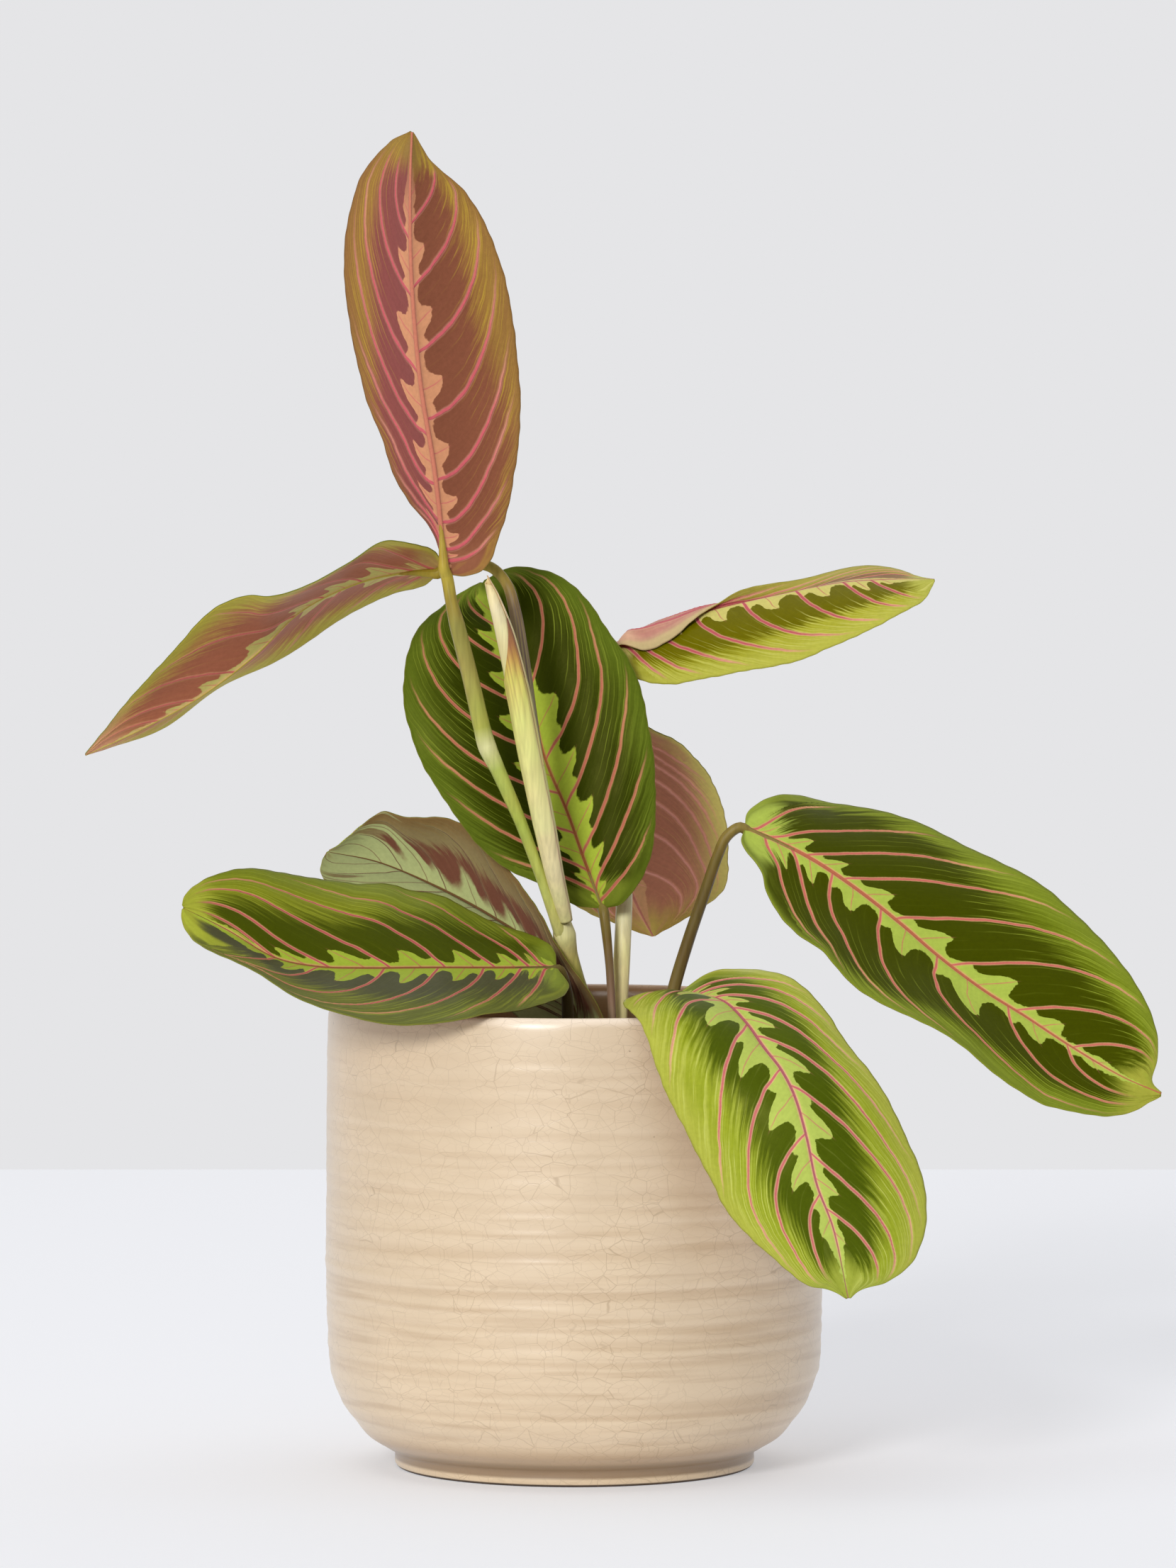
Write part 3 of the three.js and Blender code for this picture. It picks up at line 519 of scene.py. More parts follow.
# %% Meshes from points and faces
def object_from(name, points_mm, faces, materials=(), face_material=None, corner_values=()):
    """A mesh object at the origin. Its points are given in mm, and its place is in its mesh."""
    mesh = bpy.data.meshes.new(name)
    mesh.from_pydata((np.asarray(points_mm) * MM).tolist(), [], np.asarray(faces).tolist())
    for material in materials:
        mesh.materials.append(material)
    if face_material is not None:
        mesh.polygons.foreach_set("material_index", np.asarray(face_material, np.int32))
    mesh.polygons.foreach_set("use_smooth", np.ones(len(mesh.polygons), bool))
    for word, values in dict(corner_values).items():
        layer = mesh.attributes.new(word, "FLOAT", "CORNER")
        layer.data.foreach_set("value", np.asarray(values, np.float32).ravel())
    return put(name, mesh)


def two_faced(rows, columns):
    """Faces of a closed sheet: a grid of points, the same grid again as its back, and its edge."""
    wide, count = columns + 1, (rows + 1) * (columns + 1)
    row, column = (a.ravel() for a in np.mgrid[0:rows, 0:columns])
    corner = row * wide + column
    front = np.stack([corner, corner + 1, corner + wide + 1, corner + wide], axis=1)
    border = np.r_[0:columns, np.arange(rows) * wide + columns,
                   rows * wide + np.arange(columns, 0, -1), np.arange(rows, 0, -1) * wide]
    following = np.roll(border, -1)
    edge = np.stack([border, border + count, following + count, following], axis=1)
    return np.vstack([front, front[:, ::-1] + count, edge])


def dress(piece, slot, *nodes):
    """The piece moves with the one body and stands for these solids, which it hides; slot is only
    printed.
    """
    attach(piece, "root")
    if nodes:
        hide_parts(*nodes)
    print(f"{piece.name}: {len(piece.data.polygons)} faces, slot {slot}, stands for {list(nodes)}")


# %% A whole blade
ROWS = 210  # cells from base to tip
COLUMNS = 44  # cells from rib to margin
CLOSER = 1.35  # a power that sets the columns closer together near the rib
BASE_END, TIP_END = 0.005, 0.9945  # shares of the rib where the blade is cut off
UNDER_SINK = 0.8  # how much of the upper face's relief the underside follows


def blade(name, leaf, seed):
    """A closed leaf blade with its upper face, its underside and the thin edge between them."""
    along = np.linspace(BASE_END, TIP_END, ROWS + 1)
    out = np.linspace(0, 1, COLUMNS + 1) ** CLOSER
    halves = [half_blade(leaf, side, along, out, seed) for side in (-1, 1)]
    fields = [half_fields(s, side, along, out, VEINS[name][side > 0], TEETH[name][side > 0])
              for s, side in zip(halves, (-1, 1))]

    def whole(left, right):
        return np.concatenate([left[:, ::-1], right[:, 1:]], axis=1)

    middle = whole(*halves)
    normal = unit(np.cross(np.gradient(middle, axis=1), np.gradient(middle, axis=0)))
    sink, thick, keel = (whole(a, b)[..., None] for a, b in zip(*map(relief, fields)))
    upper = middle + normal * (thick / 2 - sink)
    lower = middle - normal * (thick / 2 + sink * UNDER_SINK + keel)
    points = np.vstack([upper.reshape(-1, 3), lower.reshape(-1, 3)])
    faces = two_faced(ROWS, 2 * COLUMNS)
    row, column = np.divmod(faces % (len(points) // 2), 2 * COLUMNS + 1)
    half = np.where(column.mean(axis=1) < COLUMNS, 0, 1)[:, None]
    values = {word: np.stack([f[word] for f in fields])[half, row, np.abs(column - COLUMNS)]
              for word in fields[0]}
    skins = [leaf_skins[word] for word in leaf["faces"]]
    cells = ROWS * 2 * COLUMNS
    under = np.r_[np.zeros(cells), np.ones(cells), np.zeros(len(faces) - 2 * cells)]
    return object_from(name + "_blade", points, faces, skins, under, values)


# %% [markdown]
# ## The finish of a leaf
#
# The upper face of a prayer leaf is matt-satin and dark, with a pale zone along the midrib. The zone
# runs out in a pointed tooth in the middle of each cell and draws back where two dark lobes come in
# beside the veins. Further out the dark patches fade into a lighter green, with fine yellow lines and
# broad golden streaks between the veins, and the last part of the tip is plain. The veins are rose,
# with a cream line on either side. An image could be painted, but the pattern follows the veins, so it
# is drawn from the vein number: its fraction says where in a cell a place is, and a curve over that
# fraction gives the edge of the pale zone. The underside has the same pattern in other colours, and
# there the veins stand out as ridges. The skin's real cells are a twentieth of a millimetre, too fine
# to show, so the grain is drawn at about one millimetre.

# %% The leaf finish
LEAF_FIELDS = ("vein", "pitch", "out", "along", "rib_mm", "tooth_mm", "margin_mm", "half")
# Edge of the pale zone across one cell, from the vein nearer the base to the one nearer the tip.
TOOTH = [(0, 0.62), (0.1, 0.5), (0.19, 0.42), (0.235, 0.5), (0.28, 0.82), (0.34, 0.95), (0.42, 1),
         (0.48, 0.95), (0.55, 0.7), (0.62, 0.47), (0.7, 0.33), (0.79, 0.27), (0.87, 0.27),
         (0.94, 0.36), (1, 0.56)]
# A main vein's half width in mm on its way out, as a share of its widest.
VEIN_TAPER = [(0, 0.7), (0.08, 0.95), (0.35, 1), (0.65, 0.8), (0.85, 0.5), (0.96, 0.2), (1, 0)]
GRAIN, BLOTCHES, JAGS = 900.0, 160.0, 700.0  # per metre
JAG_MM, VEIN_SWAY = 0.3, 0.07  # how far the zone's edge is jagged, and the veins wander, in cells
LOOSE, FRAY = 0.03, 0.09  # how far the streaks blur an edge along the blade, and across it
BASE_END_ZONE = (0.12, 0.07)  # shares of the length between which the pale base begins
HALF_WAY = (0.3, 0.6)  # shares of the length over which the base's values turn into the tip's
MARGIN_FROM = (0.62, 0.95)  # shares of the width over which the margin's colour sets in
TOWARD_EDGE = (1.0, 0.84)  # and those over which lines and streaks fade at the margin
LINE_HALF = (0.11, 0.02)  # soft half width of a fine line, as a share of the space between two
HALF_VEIN, HALF_VEIN_MM = 0.43, (0.26, 0.06)  # where in a cell the half vein runs, and its soft width
EDGE_MM, EDGE_SHARE = (0.4, 0.1), 0.35  # the dry line along the margin
LINE_MM, STREAK_MM, GRAIN_MM = 0.03, 0.035, 0.04  # relief


def curve(add, value, points):
    """A value looked up on a curve through the given points."""
    result = add("ShaderNodeFloatCurve", {1: value})
    mapping = result.node.mapping
    knots = mapping.curves[0].points
    for place, height in points[1:-1]:
        knots.new(place, height)
    for knot, (place, height) in zip(knots, points):
        knot.location = (place, height)
        knot.handle_type = "VECTOR"
    mapping.update()
    return result


def leaf_skin(name, look):
    """One face of a leaf. look holds its colours as hex values and a few lengths in mm."""
    look = {word: linear(value) if str(value).startswith("#") else value
            for word, value in look.items()}
    material = bpy.data.materials.new(name)
    add = adder(material)
    field = {word: add(FIELD, attribute_name=word, pick=2) for word in LEAF_FIELDS}
    place = add("ShaderNodeTexCoord", pick=3)
    grain = add(NOISE, {0: place, 2: GRAIN, 3: 2.0})
    blotch = add(NOISE, {0: place, 2: BLOTCHES, 3: 2.0})

    # the veins wander a little, and streaks run along with them
    spot = add("ShaderNodeCombineXYZ", [field["along"], field["out"], field["half"]])
    slow = add(NOISE, {0: spot, 2: 6.0, 3: 1.0})
    sway = add(MATH, [slow, 0.5], **MINUS)
    vein = add(MATH, [sway, VEIN_SWAY, field["vein"]], operation="MULTIPLY_ADD")
    cell = add(MATH, [vein], operation="FRACT")
    off = add(MATH, [cell, 0.5], **MINUS)
    off = add(MATH, [off], operation="ABSOLUTE")
    off = add(MATH, [0.5, off], **MINUS)
    vein_mm = add(MATH, [off, field["pitch"]], **TIMES)
    lines = add(MATH, [vein, look["lines"]], **TIMES)
    threads = add("ShaderNodeCombineXYZ", [lines, field["out"], field["half"]])
    threads = add(VECTOR, [threads, (2.6, 3.0, 5.0)], **TIMES)
    streak = add(NOISE, {0: threads, 2: 1.0, 3: 3.0, 4: 0.6})

    # pale zone along the rib, with its toothed edge, and the pale base
    edge = curve(add, cell, TOOTH)
    edge = add(STEP, [edge, 0.0, 1.0, 1.0 - look["lobe"], 1.0])
    edge = add(MATH, [edge, field["tooth_mm"]], **TIMES)
    edge = add(MATH, [edge, look["zone_most"]], operation="MINIMUM")
    jag = add(NOISE, {0: place, 2: JAGS, 3: 2.0})
    jag = add(STEP, [jag, *NOISE_SPAN, -JAG_MM, JAG_MM])
    edge = add(MATH, [edge, jag], **PLUS)
    beyond = add(MATH, [field["rib_mm"], edge], **MINUS)
    zone = add(STEP, [beyond, look["zone_soft"], -look["zone_soft"], 0.0, 1.0], **SOFT)
    loose = add(STEP, [streak, *NOISE_SPAN, -LOOSE, LOOSE])
    base_end = add(MATH, [field["along"], loose], **PLUS)
    base_end = add(STEP, [base_end, *BASE_END_ZONE, 0.0, look["base"]], **SOFT)
    base_out = add(STEP, [field["out"], 0.95, 0.7, 0.35, 1.0], **SOFT)
    base_end = add(MATH, [base_end, base_out], **TIMES)
    zone_end = add(STEP, [field["along"], *look["zone_end"], 0.0, 1.0], **SOFT)
    zone = add(MATH, [zone, zone_end], **TIMES)
    zone = add(MATH, [zone, base_end], operation="MAXIMUM")

    # dark patches fade outwards in streaks, sooner towards the tip, and the tip is plain
    half_way = add(STEP, [field["along"], *HALF_WAY, 0.0, 1.0], **SOFT)
    fade = add(STEP, [streak, *NOISE_SPAN, -FRAY, FRAY])
    fade = add(MATH, [field["out"], fade], **PLUS)
    (base_start, base_stop), (tip_start, tip_stop) = look["patch"]
    start = add(STEP, [half_way, 0.0, 1.0, base_start, tip_start])
    stop = add(STEP, [half_way, 0.0, 1.0, base_stop, tip_stop])
    patch = add(STEP, [fade, stop, start, 0.0, 1.0], **SOFT)
    near_tip = add(MATH, [field["along"], loose], **PLUS)
    near_tip = add(STEP, [near_tip, *look["plain_tip"], 0.0, 1.0], **SOFT)
    patch = add(MATH, [patch, near_tip], **TIMES)

    # fine lines between the veins, broken up along their length
    lines = add(MATH, [lines], operation="FRACT")
    lines = add(MATH, [lines, 0.5], **MINUS)
    lines = add(MATH, [lines], operation="ABSOLUTE")
    lines = add(STEP, [lines, *LINE_HALF, 0.0, 1.0], **SOFT)
    broken = add(STEP, [streak, 0.42, 0.6, 0.0, 1.0], **SOFT)
    outer = add(STEP, [field["out"], 0.3, 0.62, 0.08, 1.0], **SOFT)
    toward_edge = add(STEP, [field["out"], *TOWARD_EDGE, 0.3, 1.0], **SOFT)
    tipward = add(STEP, [half_way, 0.0, 1.0, 0.35, 1.0])
    for share in (broken, outer, toward_edge, tipward, look["line_share"]):
        lines = add(MATH, [lines, share], **TIMES)

    broad = add(STEP, [streak, 0.46, 0.66, 0.0, look["streaks"]], **SOFT)
    broad = add(MATH, [broad, outer], **TIMES)
    broad = add(MATH, [broad, toward_edge], **TIMES)

    # main veins with their pale borders, the half vein to each tooth, and the rib
    taper = curve(add, field["out"], VEIN_TAPER)
    thinner = add(STEP, [field["along"], 0.5, 0.9, look["vein_mm"] / 2, look["vein_mm"] * 0.34])
    half_mm = add(MATH, [taper, thinner], **TIMES)
    beside = add(MATH, [vein_mm, half_mm], **MINUS)
    ends = add(STEP, [field["out"], 0.97, look["vein_end"], 0.0, 1.0], **SOFT)
    veins = add(STEP, [beside, 0.1, -0.12, 0.0, 1.0], **SOFT)
    ends = add(MATH, [ends, near_tip], **TIMES)
    veins = add(MATH, [veins, ends], **TIMES)
    borders = add(STEP, [beside, look["border_mm"], 0.0, 0.0, look["border"]], **SOFT)
    borders = add(MATH, [borders, ends], **TIMES)
    middle = add(MATH, [cell, HALF_VEIN], **MINUS)
    middle = add(MATH, [middle], operation="ABSOLUTE")
    middle = add(MATH, [middle, field["pitch"]], **TIMES)
    middle = add(STEP, [middle, *HALF_VEIN_MM, 0.0, 0.7], **SOFT)
    middle_end = add(MATH, [field["rib_mm"], field["tooth_mm"]], **MINUS)
    middle_end = add(STEP, [middle_end, 1.2, -2.5, 0.0, 1.0], **SOFT)
    middle = add(MATH, [middle, middle_end], **TIMES)
    rib_half = add(STEP, [field["along"], 0.0, 1.0, look["rib_mm"] / 2, 0.15])
    rib = add(MATH, [field["rib_mm"], rib_half], **MINUS)
    ribs = add(STEP, [rib, 0.12, -0.12, 0.0, 1.0], **SOFT)
    rib_border = add(STEP, [rib, look["border_mm"] * 1.5, 0.0, 0.0, look["border"]], **SOFT)
    rib_border = add(MATH, [rib_border, near_tip], **TIMES)

    # the colours, one laid over the other
    toward_margin = add(STEP, [fade, *MARGIN_FROM, 0.0, 1.0], **SOFT)
    mid = add(MIX, {0: half_way, 6: look["mid"], 7: look["late"]}, **COLOURS)
    colour = add(MIX, {0: toward_margin, 6: mid, 7: look["margin"]}, **COLOURS)
    toward_tip = add(STEP, [near_tip, 1.0, 0.0, 0.0, 1.0])
    # one half can take the colour other; on the low green leaf that is a painted sheen
    left_share, right_share = look["side"]
    side_share = add(STEP, [field["half"], -1.0, 1.0, left_share, right_share])
    side_outer = add(MATH, [side_share, look["outer"]], **TIMES)
    side_outer = add(MATH, [side_outer, near_tip], **TIMES)
    dark = add(MIX, {0: side_share, 6: look["dark"], 7: look["other"]}, **COLOURS)
    vein_colour = add(MIX, {0: toward_margin, 6: look["vein"], 7: look["cream"]}, **COLOURS)
    for share, layer in ((toward_tip, look["tip"]), (side_outer, look["other"]), (broad, look["line"]),
                         (patch, dark), (lines, look["line"]), (zone, look["zone"]),
                         (rib_border, look["cream"]), (borders, look["cream"]), (middle, look["vein"]),
                         (veins, vein_colour), (ribs, look["rib"])):
        colour = add(MIX, {0: share, 6: colour, 7: layer}, **COLOURS)
    very_edge = add(STEP, [field["margin_mm"], *EDGE_MM, 0.0, EDGE_SHARE], **SOFT)
    colour = add(MIX, {0: very_edge, 6: colour, 7: look["edge"]}, **COLOURS)
    mottle = add(MATH, [grain, streak], **PLUS)
    mottle = add(STEP, [mottle, 0.7, 1.3, 0.93, 1.07])
    colour = add("ShaderNodeHueSaturation", {"Value": mottle, "Color": colour})

    # height in metres: vein ridges or grooves, fine lines and the skin's cells
    height = add(MATH, [veins, ribs], operation="MAXIMUM")
    height = add(MATH, [height, look["vein_height"] * MM], **TIMES)
    height = add(MATH, [lines, LINE_MM * MM, height], operation="MULTIPLY_ADD")
    height = add(MATH, [streak, STREAK_MM * MM, height], operation="MULTIPLY_ADD")
    height = add(MATH, [grain, GRAIN_MM * MM, height], operation="MULTIPLY_ADD")
    bump = add("ShaderNodeBump", {"Strength": 1.0, "Distance": 1.0, "Height": height})
    rough = add(STEP, [blotch, *NOISE_SPAN, look["rough"] - 0.04, look["rough"] + 0.06])
    skin = add("ShaderNodeBsdfPrincipled", {
        "Base Color": colour, "Roughness": rough, "IOR": 1.42, "Normal": bump,
        "Specular IOR Level": 0.18, "Specular Tint": linear("#e2da74")})
    add("ShaderNodeOutputMaterial", [skin])
    return material


# %% Leaf colours
# Both faces share the first row. Widths, heights and soft edges are in mm, places in shares.
BOTH = dict(plain_tip=(0.94, 0.87), zone_end=(0.985, 0.93), lobe=1.0, lines=5.0, vein_end=0.8,
            other="#000000", side=(0.0, 0.0), outer=0.5)
UPPER = dict(BOTH, streaks=0.3, zone_most=13.0, zone_soft=0.16, base=0.95, line_share=0.7, vein_mm=0.66,
             border_mm=0.4, border=0.9, rib_mm=1.1, vein_height=-0.06, rough=0.42, edge="#9a9444",
             patch=((0.78, 1.0), (0.5, 0.82)))
UNDER = dict(BOTH, streaks=0.5, zone_most=99.0, zone_soft=0.25, base=0.9, line_share=0.6, vein_mm=0.95,
             border_mm=0.6, border=0.5, rib_mm=1.0, vein_height=0.12, rough=0.5, edge="#8d6a44",
             patch=((0.8, 1.05), (0.5, 0.85)))
# dark is for the patches by the rib, mid and late lie between the veins in the base's and the tip's
# half, other tints one half (on the low green leaf a painted sheen on the near half), and cream runs
# along the veins on both sides.
# All are set layer by layer, until a render looked like the plant.
LOOKS = {
    "dark_green_leaf": dict(
        UPPER, dark="#414800", mid="#5c6604", late="#768516", margin="#7f8d26", tip="#a6a63e",
        zone="#afc150", line="#a2b03a", vein="#cf6c64", cream="#dda676", rib="#b9694e",
        rib_mm=1.4),
    # its near, left half is tinted grey-green: a painted sheen, the reflection seen at a grazing angle
    "low_green_leaf": dict(
        UPPER, dark="#424b02", mid="#6f7c16", late="#838a20", margin="#7a8620", tip="#a0a436",
        zone="#a0b23a", line="#a8b03a", vein="#ba545a", cream="#d09a6c", rib="#8c5638",
        base=0.45, other="#4f5036", side=(1.0, 0.0), outer=0.6, patch=((0.45, 0.85), (0.34, 0.66))),
    "deep_green_leaf": dict(
        UPPER, dark="#2f3802", mid="#505c10", late="#5c6a18", margin="#5a6a1a", tip="#6c7c24",
        zone="#aec040", line="#909c36", vein="#be6858", cream="#cb8e66", rib="#a2603c",
        streaks=0.14, zone_soft=0.35, base=0.35, lobe=0.62, line_share=0.75, rib_mm=0.8,
        patch=((0.6, 1.0), (0.5, 0.95))),
    "lime_leaf": dict(
        UPPER, dark="#4a580a", mid="#929e22", late="#98a42a", margin="#aeb244", tip="#9ca63c",
        zone="#b5c55c", line="#c6cc66", vein="#ca6a6c", cream="#e4b088", rib="#b0606a",
        base=0.35, line_share=0.95, rough=0.36, patch=((0.45, 0.72), (0.34, 0.62))),
    "yellow_green_leaf": dict(
        UPPER, dark="#6a6400", mid="#8f8c0c", late="#a8a630", margin="#b6b548", tip="#b4b44c",
        zone="#d0c670", line="#cdc96c", vein="#bd5860", cream="#e0a082", rib="#a85448",
        vein_mm=0.8, rib_mm=1.5, other="#8a5f30", side=(0.9, 0.0), outer=0.4,
        patch=((0.6, 0.8), (0.52, 0.68))),
    "salmon_underside": dict(
        UNDER, dark="#8a523d", mid="#9c703e", late="#a8833a", margin="#956c3c", tip="#9c7a40",
        zone="#dc9a72", line="#bb9a3a", vein="#d4646c", cream="#d4907c", rib="#cc7c66",
        streaks=0.8, zone_end=(0.97, 0.76), base=0.1, rib_mm=0.7, other="#914e4c", side=(0.0, 0.9),
        outer=0.12),
    "russet_underside": dict(
        UNDER, dark="#b06a50", mid="#bb8c40", late="#c08a50", margin="#bfb246", tip="#d89a7c",
        zone="#ccc070", line="#cfc250", vein="#d06e66", cream="#e0a07c", rib="#c4b050",
        plain_tip=(0.98, 0.8), base=0.4, vein_mm=0.75, patch=((0.55, 0.85), (0.45, 0.8))),
    "mauve_underside": dict(
        UNDER, dark="#cf8a70", mid="#e09a8c", late="#e4ac80", margin="#d8cc72", tip="#dcc468",
        zone="#eab484", line="#d8b074", vein="#ffb4a2", cream="#f6ac94", rib="#d88c7c",
        plain_tip=(0.95, 0.78), vein_mm=0.9, border=0.7, patch=((0.7, 1.0), (0.5, 0.9))),
    "grey_green_underside": dict(
        UNDER, dark="#744838", mid="#8a7450", late="#8c7c54", margin="#84683e", tip="#aab074",
        zone="#b2ba7c", line="#8f8250", vein="#806048", cream="#98946a", rib="#6e5030",
        streaks=0.25, zone_soft=1.4, vein_mm=0.4, border=0.1, patch=((0.5, 0.7), (0.45, 0.62))),
    "pink_underside": dict(
        UNDER, dark="#c08474", mid="#c98c82", late="#cb9a86", margin="#cdb886", tip="#c4a878",
        zone="#e0b294", line="#d0b488", vein="#c46a70", cream="#e0b098", rib="#c88470",
        patch=((0.5, 0.8), (0.4, 0.7))),
    "purple_underside": dict(
        UNDER, dark="#7c4244", mid="#8b5a48", late="#8f6a4c", margin="#8d8048", tip="#94884c",
        zone="#a98a62", line="#9c8a52", vein="#c4646c", cream="#b07a62", rib="#a4744c"),
}
leaf_skins = {word: leaf_skin(word, look) for word, look in LOOKS.items()}
print("leaf finishes:", sorted(leaf_skins))

# %% Leaves
LEAF_SLOTS = {"leaf_upright": "leaf_red", "leaf_left_high": "leaf_red", "leaf_back": "leaf_red",
              "leaf_right_high": "leaf_lime", "leaf_front": "leaf_lime"}
for seed, (name, leaf) in enumerate(LEAVES.items()):
    dress(blade(name, leaf, seed), LEAF_SLOTS.get(name, "leaf_green"), name)

# %% [markdown]
# ## Stems
#
# The stems are round and fleshy, with fine ridges along them, a swelling at each node and another where
# a stalk meets its blade. Such a stem could be a bevelled curve, but its colour and thickness change
# along the way. So each is a chain of points that carries its own radius and tint, and a small Geometry
# Nodes tree sweeps a ring along it and presses the ridges in. The stalks run on a few millimetres under
# the blade, where they turn into its midrib.

# %% Stem tree
def new_group(name, sockets):
    """A Geometry Nodes group with a geometry in and out, what adds its nodes, and its named inputs."""
    group = bpy.data.node_groups.new(name, "GeometryNodeTree")
    group.interface.new_socket("Geometry", in_out="INPUT", socket_type="NodeSocketGeometry")
    for label, (kind, value) in sockets.items():
        socket = group.interface.new_socket(label, in_out="INPUT", socket_type="NodeSocket" + kind)
        if value is not None:
            socket.default_value = value
    group.interface.new_socket("Geometry", in_out="OUTPUT", socket_type="NodeSocketGeometry")
    return group, partial(add_node, group), group.nodes.new("NodeGroupInput").outputs


def grown(name, base, group, **values):
    """Runs a tree on a base object and returns the result as a plain mesh object."""
    modifier = base.modifiers.new("tree", "NODES")
    modifier.node_group = group
    for item in group.interface.items_tree:
        if item.item_type == "SOCKET" and item.in_out == "INPUT" and item.name in values:
            modifier[item.identifier] = values[item.name]
    evaluated = base.evaluated_get(bpy.context.evaluated_depsgraph_get())
    mesh = bpy.data.meshes.new_from_object(evaluated)
    base.modifiers.remove(modifier)
    bpy.data.objects.remove(base)
    mesh.name = name
    return put(name, mesh)


stem_tree, add, given = new_group("stem along a path", {
    "Sides": ("Int", 28), "Ridges": ("Int", 9), "Ridge depth": ("Float", 0.05 * MM),
    "Skin": ("Material", None)})
path = add("GeometryNodeMeshToCurve", [given["Geometry"]])
ring = add("GeometryNodeCurvePrimitiveCircle", {0: given["Sides"], 4: 1.0})
turn = add("GeometryNodeSplineParameter")
ring = add("GeometryNodeStoreNamedAttribute", {0: ring, 2: "around", 3: turn})
girth = add("GeometryNodeInputNamedAttribute", ["radius"])
tube = add("GeometryNodeCurveToMesh", {0: path, 1: ring, 2: girth, 3: True})
around = add("GeometryNodeInputNamedAttribute", ["around"])
bend = add(MATH, [around, given["Ridges"]], **TIMES)
bend = add(MATH, [bend, 2 * math.pi], **TIMES)
bend = add(MATH, [bend], operation="COSINE")
press = add(MATH, [bend, given["Ridge depth"]], **TIMES)
outward = add("GeometryNodeInputNormal")
push = add(VECTOR, {0: outward, 3: press}, operation="SCALE")
tube = add("GeometryNodeSetPosition", {0: tube, 3: push})
tube = add("GeometryNodeSetShadeSmooth", [tube])
tube = add("GeometryNodeRealizeInstances", [tube])
tube = add("GeometryNodeSetMaterial", {0: tube, 2: given["Skin"]})
add("NodeGroupOutput", [tube])
print("stem tree:", len(stem_tree.nodes), "nodes")

# %% [markdown]
# The skin of a stem is smooth and a little waxy: soft gloss, fine pale threads along it, and on one
# stalk grey-purple stripes that run lengthwise. Its colour comes from the tint that each point of the
# path carries, from cream where it was hidden in a sheath to olive and brown where it met the light,
# and the tint's fourth value says how strong the stripes are there.

# %% Stem finish
STRIPE, STRIPES_AROUND = "#6f5a5a", 26.0
THREAD_SCALE = (900, 900, 60)  # per metre, so a thread is 1 mm wide and 16 mm long


def stem_skin(name, rough, thread_depth):
    """Waxy plant skin in the tint that the mesh carries, with lengthwise threads and stripes."""
    material = bpy.data.materials.new(name)
    add = adder(material)
    tint = add(FIELD, attribute_name="tint", pick=0)
    striped = add(FIELD, attribute_name="tint", pick=3)
    around = add(FIELD, attribute_name="around", pick=2)
    place = add("ShaderNodeTexCoord", pick=3)
    stretched = add(VECTOR, [place, THREAD_SCALE], **TIMES)
    threads = add(NOISE, {0: stretched, 2: 1.0, 3: 2.0})
    patches = add(NOISE, {0: place, 2: 120.0, 3: 1.0})
    turn = add(MATH, [around, STRIPES_AROUND], **TIMES)
    stripes = add(NOISE, {1: turn, 2: 1.0, 3: 1.0}, noise_dimensions="1D")
    stripes = add(STEP, [stripes, 0.42, 0.58, 0.0, 1.0], **SOFT)
    stripes = add(MATH, [stripes, striped], **TIMES)
    tint = add(MIX, {0: stripes, 6: tint, 7: linear(STRIPE)}, **COLOURS)
    value = add(STEP, [threads, *NOISE_SPAN, 0.84, 1.1])
    hue = add(STEP, [patches, *NOISE_SPAN, 0.49, 0.51])
    colour = add("ShaderNodeHueSaturation", {"Hue": hue, "Value": value, "Color": tint})
    height = add(MATH, [threads, thread_depth * MM], **TIMES)
    bump = add("ShaderNodeBump", {"Strength": 1.0, "Distance": 1.0, "Height": height})
    rough_here = add(STEP, [around, 0.0, 1.0, rough - 0.03, rough + 0.03])  # never quite even
    skin = add("ShaderNodeBsdfPrincipled", {
        "Base Color": colour, "Roughness": rough_here, "IOR": 1.42, "Normal": bump,
        "Specular IOR Level": 0.22})
    add("ShaderNodeOutputMaterial", [skin])
    return material


waxy_stem = stem_skin("waxy stem skin", 0.38, 0.08)
print("finish:", waxy_stem.name)

